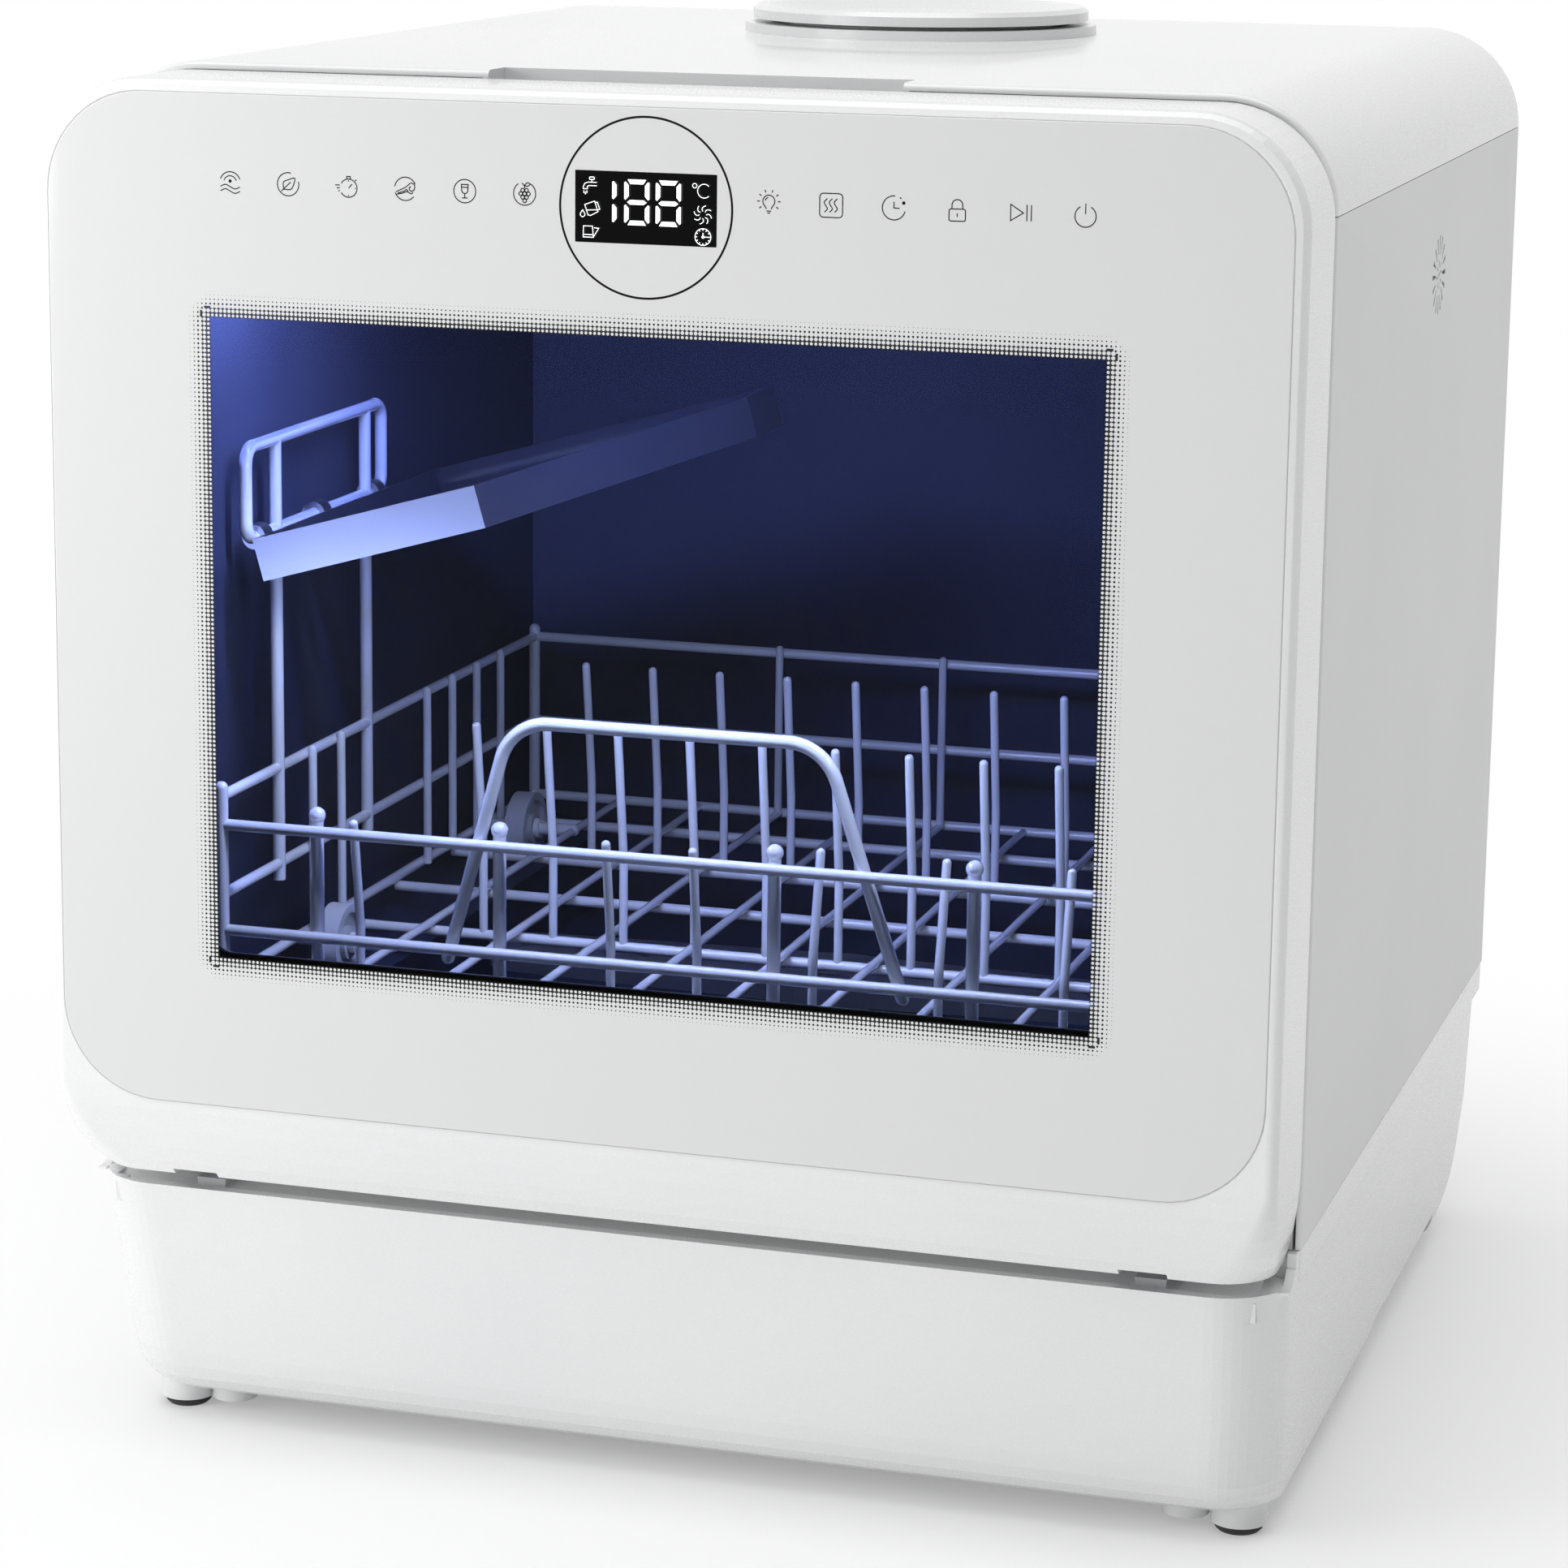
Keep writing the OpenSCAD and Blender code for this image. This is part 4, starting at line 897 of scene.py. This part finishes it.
add_piece("touch_marks", touch_marks(), "ink", "door", "printed_glass")


# ---- Door: bead round the glass, inner pane, its seal and the liner ----

BEAD_WIDE = 0.19 * MM
BEAD_DEPTH = 0.3 * MM


def glass_bead():
    """Pale bead that fills the joint between the glass and its frame."""
    mesh = bmesh.new()
    outer = ring_of(mesh, glass_outline(-BEAD_WIDE), BEAD_DEPTH)
    bridge(mesh, outer, ring_of(mesh, glass_outline(0), BEAD_DEPTH))
    face_front(mesh)
    return mesh


# the inner pane, wide enough that the whole window shows the tub
INNER_HALF = 175 * MM
INNER_LOW = 166.5 * MM
INNER_HIGH = 411 * MM
INNER_CORNER = 14 * MM
INNER_FRONT = 35.5 * MM
SEAL_FRONT = 39 * MM
LINER_FRONT = 40.5 * MM
# how far the liner and the seal reach over the pane's edge
LINER_LAP = 5.5 * MM
SEAL_LAP = 6.1 * MM
# the narrower opening of the liner in the frame
OPENING_HALF = 152 * MM
OPENING_LOW = 177 * MM
OPENING_HIGH = 401 * MM
OPENING_CORNER = 8 * MM
OPENING_SLACK = 0.2 * MM


def inner_outline(inset):
    return round_outline(-INNER_HALF + inset, INNER_LOW + inset, INNER_HALF - inset,
                         INNER_HIGH - inset, INNER_CORNER - inset)


def closed_ring(outer, inner, front, back):
    """Flat ring between two outlines."""
    mesh = bmesh.new()
    loops = [ring_of(mesh, outline, depth) for outline, depth in
             ((outer, front), (inner, front), (inner, back), (outer, back))]
    for first, second in zip(loops, loops[1:] + loops[:1]):
        bridge(mesh, first, second)
    bmesh.ops.recalc_face_normals(mesh, faces=mesh.faces)
    return mesh


def wide_liner():
    """The liner with its opening drawn out over the edge of the inner pane."""
    middle = Vector((0, (OPENING_LOW + OPENING_HIGH) / 2))
    half = Vector((OPENING_HALF, (OPENING_HIGH - OPENING_LOW) / 2))
    straight = half - Vector((OPENING_CORNER, OPENING_CORNER))
    wide_middle = Vector((0, (INNER_LOW + INNER_HIGH) / 2))
    wide_straight = (Vector((INNER_HALF, (INNER_HIGH - INNER_LOW) / 2))
                     - Vector((INNER_CORNER, INNER_CORNER)))
    mesh = bmesh.new()
    mesh.from_mesh(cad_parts["door_liner"].data)
    bmesh.ops.remove_doubles(mesh, verts=mesh.verts, dist=SAME_PLACE)
    for vert in mesh.verts:
        place = Vector((vert.co.x, vert.co.z)) - middle
        if abs(place.x) < half.x + OPENING_SLACK and abs(place.y) < half.y + OPENING_SLACK:
            corner = Vector(max(-limit, min(limit, value)) for value, limit in zip(place, straight))
            turn = place - corner
            if turn.length > SAME_PLACE:
                turn = turn.normalized() * (INNER_CORNER - LINER_LAP)
            share = Vector((corner.x / straight.x, corner.y / straight.y))
            vert.co.x = share.x * wide_straight.x + turn.x
            vert.co.z = wide_middle.y + share.y * wide_straight.y + turn.y
    return mesh


add_piece("inner_pane", slab(inner_outline(0), INNER_FRONT, SEAL_FRONT), "pane", "door",
          "clear_glass", "inner_glass")
add_piece("inner_seal",
          closed_ring(inner_outline(0), inner_outline(SEAL_LAP), SEAL_FRONT, LINER_FRONT),
          "rubber_dark", "door", "grey_rubber", "inner_glass_seal")
add_piece("liner_wide", wide_liner(), "inner", "door", "white_inner", "door_liner")
add_piece("glass_bead", glass_bead(), "bead", "door", "printed_glass")


# ---- Casing: edges rounded where the covers meet the door ----

BODY_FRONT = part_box("top_cover")[0].y
FRONT_ROUNDING = 2.2 * MM
ROUNDING_STEPS = 6
# the covers' outer faces look away from this height
RIM_CENTRE_Z = 400 * MM
# faces that meet at less than the first angle are joined, and shaded as one up to the second
FLAT_ANGLE = math.radians(0.4)
SMOOTH_ANGLE = math.radians(32)


def is_front_rim(edge):
    """True for the outer edge of a cover's front face."""
    if any(abs(vert.co.y - BODY_FRONT) > 0.01 * MM for vert in edge.verts):
        return False
    middle = (edge.verts[0].co + edge.verts[1].co) / 2
    outwards = Vector((middle.x, 0, max(0.0, middle.z - RIM_CENTRE_Z))).normalized()
    return len(edge.link_faces) == 2 and any(
        abs(face.normal.y) < 0.1 and face.normal.dot(outwards) > 0.3 for face in edge.link_faces)


def with_round_rim(node):
    """A cover whose front rim is rounded."""
    mesh = bmesh.new()
    mesh.from_mesh(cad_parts[node].data)
    bmesh.ops.remove_doubles(mesh, verts=mesh.verts, dist=SAME_PLACE)
    bmesh.ops.dissolve_limit(mesh, angle_limit=FLAT_ANGLE, verts=mesh.verts, edges=mesh.edges)
    rim = [edge for edge in mesh.edges if is_front_rim(edge)]
    bmesh.ops.bevel(mesh, geom=rim, offset=FRONT_ROUNDING, segments=ROUNDING_STEPS, profile=0.5,
                    affect="EDGES", clamp_overlap=True)
    for face in mesh.faces:
        face.smooth = True
    for edge in mesh.edges:
        edge.smooth = len(edge.link_faces) == 2 and edge.calc_face_angle(0) < SMOOTH_ANGLE
    return mesh


for name, finish, material_slot in (("top_cover", "shell", "white_shell"),
                                    ("side_panel_left", "panel", "white_panel"),
                                    ("side_panel_right", "panel", "white_panel")):
    add_piece(name + "_rounded", with_round_rim(name), finish, "casing", material_slot, name)


# ---- Channel under the door, and the painted shade behind the vent ----

CHANNEL_END = 200 * MM
LIP_HIGH = 93.5 * MM
LIP_DEEP = 19.5 * MM
LIP_LEAN = math.tan(math.radians(12))
LIP_HALF = 208.5 * MM
LIP_TAPER = 0.0425
LIP_CORNER = 24 * MM
CHANNEL_FLOOR = 84.05 * MM
# depth and height, in mm, round the slope's section
SLOPE_PROFILE = [(25.2, 91.0), (28, 91.4), (33, 92.8), (39, 95.2), (46.95, 98.4), (46.95, 84.05),
                 (26.1, 84.05)]
# the fillings at the lip's ends
END_START = 195 * MM
END_STEP = 0.5 * MM
END_STEPS = 10
END_BACK = 27 * MM
END_HEIGHTS = (CHANNEL_FLOOR, 89 * MM, LIP_HIGH - 0.04 * MM)
END_SINK = 0.02 * MM


def channel_slope():
    """Floor of the channel, which rises towards the body."""
    mesh = bmesh.new()
    rows = [[mesh.verts.new((x, deep(d * MM), z * MM)) for d, z in SLOPE_PROFILE]
            for x in (-CHANNEL_END, CHANNEL_END)]
    bridge(mesh, rows[0], rows[1])
    mesh.faces.new(rows[0])
    mesh.faces.new(rows[1])
    bmesh.ops.recalc_face_normals(mesh, faces=mesh.faces)
    return mesh


def lip_face(x, z):
    """Depth of the plinth's front face at its rounded corner."""
    fall = LIP_HIGH - z
    centre = LIP_HALF - LIP_TAPER * fall - LIP_CORNER
    return (LIP_DEEP + fall * LIP_LEAN + LIP_CORNER
            - math.sqrt(LIP_CORNER ** 2 - max(0.0, x - centre) ** 2))


def lip_ends():
    """Closes the plinth's lip where the channel ends at its round corners."""
    mesh = bmesh.new()
    across = [END_START + i * END_STEP for i in range(END_STEPS + 1)]
    for side in (-1, 1):
        rows = []
        for z in END_HEIGHTS:
            front = [(x, lip_face(x, z) + END_SINK) for x in across]
            outline = front + [(across[-1], END_BACK), (across[0], END_BACK)]
            rows.append([mesh.verts.new((side * x, deep(d), z)) for x, d in outline])
        bridge(mesh, rows[0], rows[1])
        bridge(mesh, rows[1], rows[2])
        mesh.faces.new(rows[0])
        mesh.faces.new(rows[2])
    bmesh.ops.recalc_face_normals(mesh, faces=mesh.faces)
    return mesh


VENT_DEEP = 255 * MM
VENT_HIGH = 399 * MM
VENT_REACH = 14.6 * MM
# the painted shade disc sits this far below the panel's outer face
VENT_SHADE_INSET = 0.45 * MM


def vent_painted_shade():
    """Painted shade: a round dark disc just behind the vent's slots, which darkens them."""
    mesh = bmesh.new()
    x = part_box("side_panel_right")[1].x - VENT_SHADE_INSET
    mesh.faces.new([mesh.verts.new((x, deep(VENT_DEEP) + a, VENT_HIGH + b))
                    for a, b in arc(0, 0, VENT_REACH, 0, 352.5, 47)])
    return mesh


add_piece("channel_slope", channel_slope(), "shell", "casing", "white_shell")
add_piece("lip_ends", lip_ends(), "shell", "casing", "white_shell")
add_piece("vent_painted_shade", vent_painted_shade(), "vent_shade", "casing", "dark_plastic")


# ---- Basket: round heads on the front posts ----

POST_HEAD = 3.0 * MM
# a post's rounded tip, and the height of it that tells the posts apart
POST_TIP = 2.3 * MM
TIP_SHARE = 0.2 * MM


def post_heads():
    """A round head on each post of the basket's front, read from the posts' own tops."""
    mesh = bmesh.new()
    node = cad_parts["basket_front_rails"]
    points = [node.matrix_world @ v.co for v in node.data.vertices]
    top = max(point.z for point in points)
    tips = []
    for point in sorted((p for p in points if p.z > top - TIP_SHARE), key=lambda p: p.x):
        if not tips or point.x - tips[-1][-1].x > 2 * POST_HEAD:
            tips.append([])
        tips[-1].append(point)
    for tip in tips:
        centre = sum(tip, Vector()) / len(tip)
        place = Matrix.Translation((centre.x, centre.y, top - POST_TIP))
        bmesh.ops.create_uvsphere(mesh, u_segments=20, v_segments=12, radius=POST_HEAD,
                                  matrix=place)
    return mesh


add_piece("post_heads", post_heads(), "wire", "basket", "coated_wire")


# ---- Camera, floor and light ----

CAMERA_PLACE = Vector((0.4618, -1.6087, 0.575))
CAMERA_YAW = 0.3028
CAMERA_PITCH = 0.2077
CAMERA_ROLL = 0.0098
CAMERA_LENS = 106.4
SENSOR_WIDTH = 36
CAMERA_SHIFT = (0.0311, -0.0313)


def set_camera():
    right = Vector((math.cos(CAMERA_YAW), math.sin(CAMERA_YAW), 0))
    ahead = Vector((-math.sin(CAMERA_YAW), math.cos(CAMERA_YAW), 0))
    look = ahead * math.cos(CAMERA_PITCH) - UP * math.sin(CAMERA_PITCH)
    top = UP * math.cos(CAMERA_PITCH) + ahead * math.sin(CAMERA_PITCH)
    side = right * math.cos(CAMERA_ROLL) + top * math.sin(CAMERA_ROLL)
    top = top * math.cos(CAMERA_ROLL) - right * math.sin(CAMERA_ROLL)
    data = bpy.data.cameras.new("camera")
    data.lens = CAMERA_LENS
    data.sensor_width = SENSOR_WIDTH
    data.shift_x, data.shift_y = CAMERA_SHIFT
    camera = bpy.data.objects.new("camera", data)
    turn = Matrix((side, top, -look)).transposed().to_4x4()
    camera.matrix_world = Matrix.Translation(CAMERA_PLACE) @ turn
    bpy.context.scene.collection.objects.link(camera)
    bpy.context.scene.camera = camera


AMBIENT = 0.25
FLOOR_REACH = 30
# from the near distance to the far one, the floor's shadows fade into plain white,
# and the white has at least this share
SHADOW_NEAR = 0.2
SHADOW_FAR = 0.65
WHITE_SHARE = 0.3
# the lamps in the tub stand at these depths, behind the inner pane
HIGH_STRIPS = deep(54 * MM)
WIRE_STRIP = deep(47 * MM)
SHELF_STRIP = deep(46 * MM)
LENS_GAP = 4 * MM
TUB_BLUE = (0.14, 0.22, 1.0)
BASKET_BLUE = (0.34, 0.42, 1.0)
WIRE_WHITE = (0.82, 0.86, 1.0)
SHELF_BLUE = (0.50, 0.58, 1.0)


def aim(lamp, place, target):
    lamp.location = Vector(place)
    lamp.rotation_euler = (Vector(target) - lamp.location).to_track_quat("-Z", "Y").to_euler()


def area_lamp(name, place, target, size, power, colour=(1, 1, 1), only=()):
    """Area lamp; only, if given, names the pieces that it lights."""
    data = bpy.data.lights.new(name, "AREA")
    data.shape = "RECTANGLE"
    data.size, data.size_y = size
    data.energy = power
    data.color = colour
    lamp = bpy.data.objects.new(name, data)
    bpy.context.scene.collection.objects.link(lamp)
    aim(lamp, place, target)
    if only:
        reach = bpy.data.collections.new(name + "_reach")
        for piece in only:
            reach.objects.link(bpy.data.objects.get(piece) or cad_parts[piece])
        lamp.light_linking.receiver_collection = reach


def sun_lamp(name, towards, strength, angle):
    data = bpy.data.lights.new(name, "SUN")
    data.energy = strength
    data.angle = math.radians(angle)
    lamp = bpy.data.objects.new(name, data)
    bpy.context.scene.collection.objects.link(lamp)
    aim(lamp, towards, (0, 0, 0))


def seen_directly(tree):
    """1 for rays from the camera and for what gloss and glass show of the surroundings."""
    path = tree.nodes.new("ShaderNodeLightPath")
    seen = calculate(tree, "MAXIMUM", path.outputs["Is Camera Ray"], path.outputs["Is Glossy Ray"])
    seen = calculate(tree, "MAXIMUM", seen, path.outputs["Is Transmission Ray"])
    lit = calculate(tree, "GREATER_THAN", path.outputs["Diffuse Depth"], 0.5)
    return calculate(tree, "MAXIMUM", calculate(tree, "SUBTRACT", seen, lit), 0.0)


def set_world():
    """White surroundings, dimmed where they only light the object."""
    world = bpy.data.worlds.new("studio")
    world.use_nodes = True
    tree = world.node_tree
    background = tree.nodes["Background"]
    background.inputs["Color"].default_value = (1, 1, 1, 1)
    level = tree.nodes.new("ShaderNodeMapRange")
    level.inputs["To Min"].default_value = AMBIENT
    level.inputs["To Max"].default_value = 1.0
    tree.links.new(seen_directly(tree), level.inputs["Value"])
    tree.links.new(level.outputs["Result"], background.inputs["Strength"])
    bpy.context.scene.world = world


def floor_finish():
    """White floor that shows its shadows near the object and plain white further away."""
    material, tree, shader = new_material("white_floor")
    shader.inputs["Base Color"].default_value = tone(0.965)
    shader.inputs["Roughness"].default_value = 0.7
    shader.inputs["Specular IOR Level"].default_value = 0.2
    glow = tree.nodes.new("ShaderNodeEmission")
    place = tree.nodes.new("ShaderNodeTexCoord").outputs["Object"]
    distance = tree.nodes.new("ShaderNodeVectorMath")
    distance.operation = "LENGTH"
    tree.links.new(place, distance.inputs[0])
    far = tree.nodes.new("ShaderNodeMapRange")
    far.interpolation_type = "SMOOTHSTEP"
    far.inputs["From Min"].default_value = SHADOW_NEAR
    far.inputs["From Max"].default_value = SHADOW_FAR
    far.inputs["To Min"].default_value = WHITE_SHARE
    tree.links.new(distance.outputs["Value"], far.inputs["Value"])
    share = calculate(tree, "MULTIPLY", far.outputs["Result"], seen_directly(tree))
    mix = tree.nodes.new("ShaderNodeMixShader")
    tree.links.new(share, mix.inputs["Fac"])
    tree.links.new(shader.outputs["BSDF"], mix.inputs[1])
    tree.links.new(glow.outputs["Emission"], mix.inputs[2])
    tree.links.new(mix.outputs["Shader"], tree.nodes["Material Output"].inputs["Surface"])
    return material


def set_floor():
    mesh = bmesh.new()
    mesh.faces.new([mesh.verts.new((x * FLOOR_REACH, y * FLOOR_REACH, 0))
                    for x, y in ((-1, -1), (1, -1), (1, 1), (-1, 1))])
    data = bpy.data.meshes.new("floor")
    mesh.to_mesh(data)
    mesh.free()
    data.materials.append(floor_finish())
    floor = bpy.data.objects.new("floor", data)
    bpy.context.scene.collection.objects.link(floor)


def set_lamps():
    sun_lamp("overhead", towards=(-0.05, -0.12, 0.98), strength=1.95, angle=60)
    area_lamp("left_window", place=(-0.95, -1.05, 0.5), target=(-0.1, -0.23, 0.25),
              size=(0.7, 0.9), power=7.3)
    lens = (LENS_LOW + LENS_HIGH) / 2
    rollers = [name for name in NODE_FINISH["grey_plastic"] if name.startswith("roller")]
    basket = NODE_FINISH["wire"] + rollers + ["post_heads"]
    area_lamp("tub_lamp", place=(lens.x, lens.y, LENS_LOW.z - LENS_GAP), target=(lens.x, lens.y, 0),
              size=(0.07, 0.01), power=0.45, colour=TUB_BLUE, only=basket + ["tub"])
    area_lamp("tub_strip", place=(-0.08, HIGH_STRIPS, 0.43), target=(-0.04, -0.04, 0.15),
              size=(0.2, 0.012), power=2.4, colour=BASKET_BLUE, only=basket + ["tub"])
    area_lamp("shelf_glow", place=(0.03, HIGH_STRIPS, 0.43), target=(-0.08, -0.04, 0.33),
              size=(0.06, 0.01), power=0.08, colour=TUB_BLUE, only=["cup_shelf"])
    area_lamp("wire_light", place=(0, WIRE_STRIP, 0.33), target=(0, deep(0.1), 0.16),
              size=(0.28, 0.02), power=1.05, colour=WIRE_WHITE, only=basket)
    area_lamp("shelf_light", place=(-0.12, SHELF_STRIP, 0.24), target=(-0.12, -0.12, 0.32),
              size=(0.1, 0.02), power=0.62, colour=SHELF_BLUE, only=["cup_shelf"])


set_camera()
set_world()
set_floor()
set_lamps()

scene = bpy.context.scene
scene.view_settings.view_transform = "Standard"
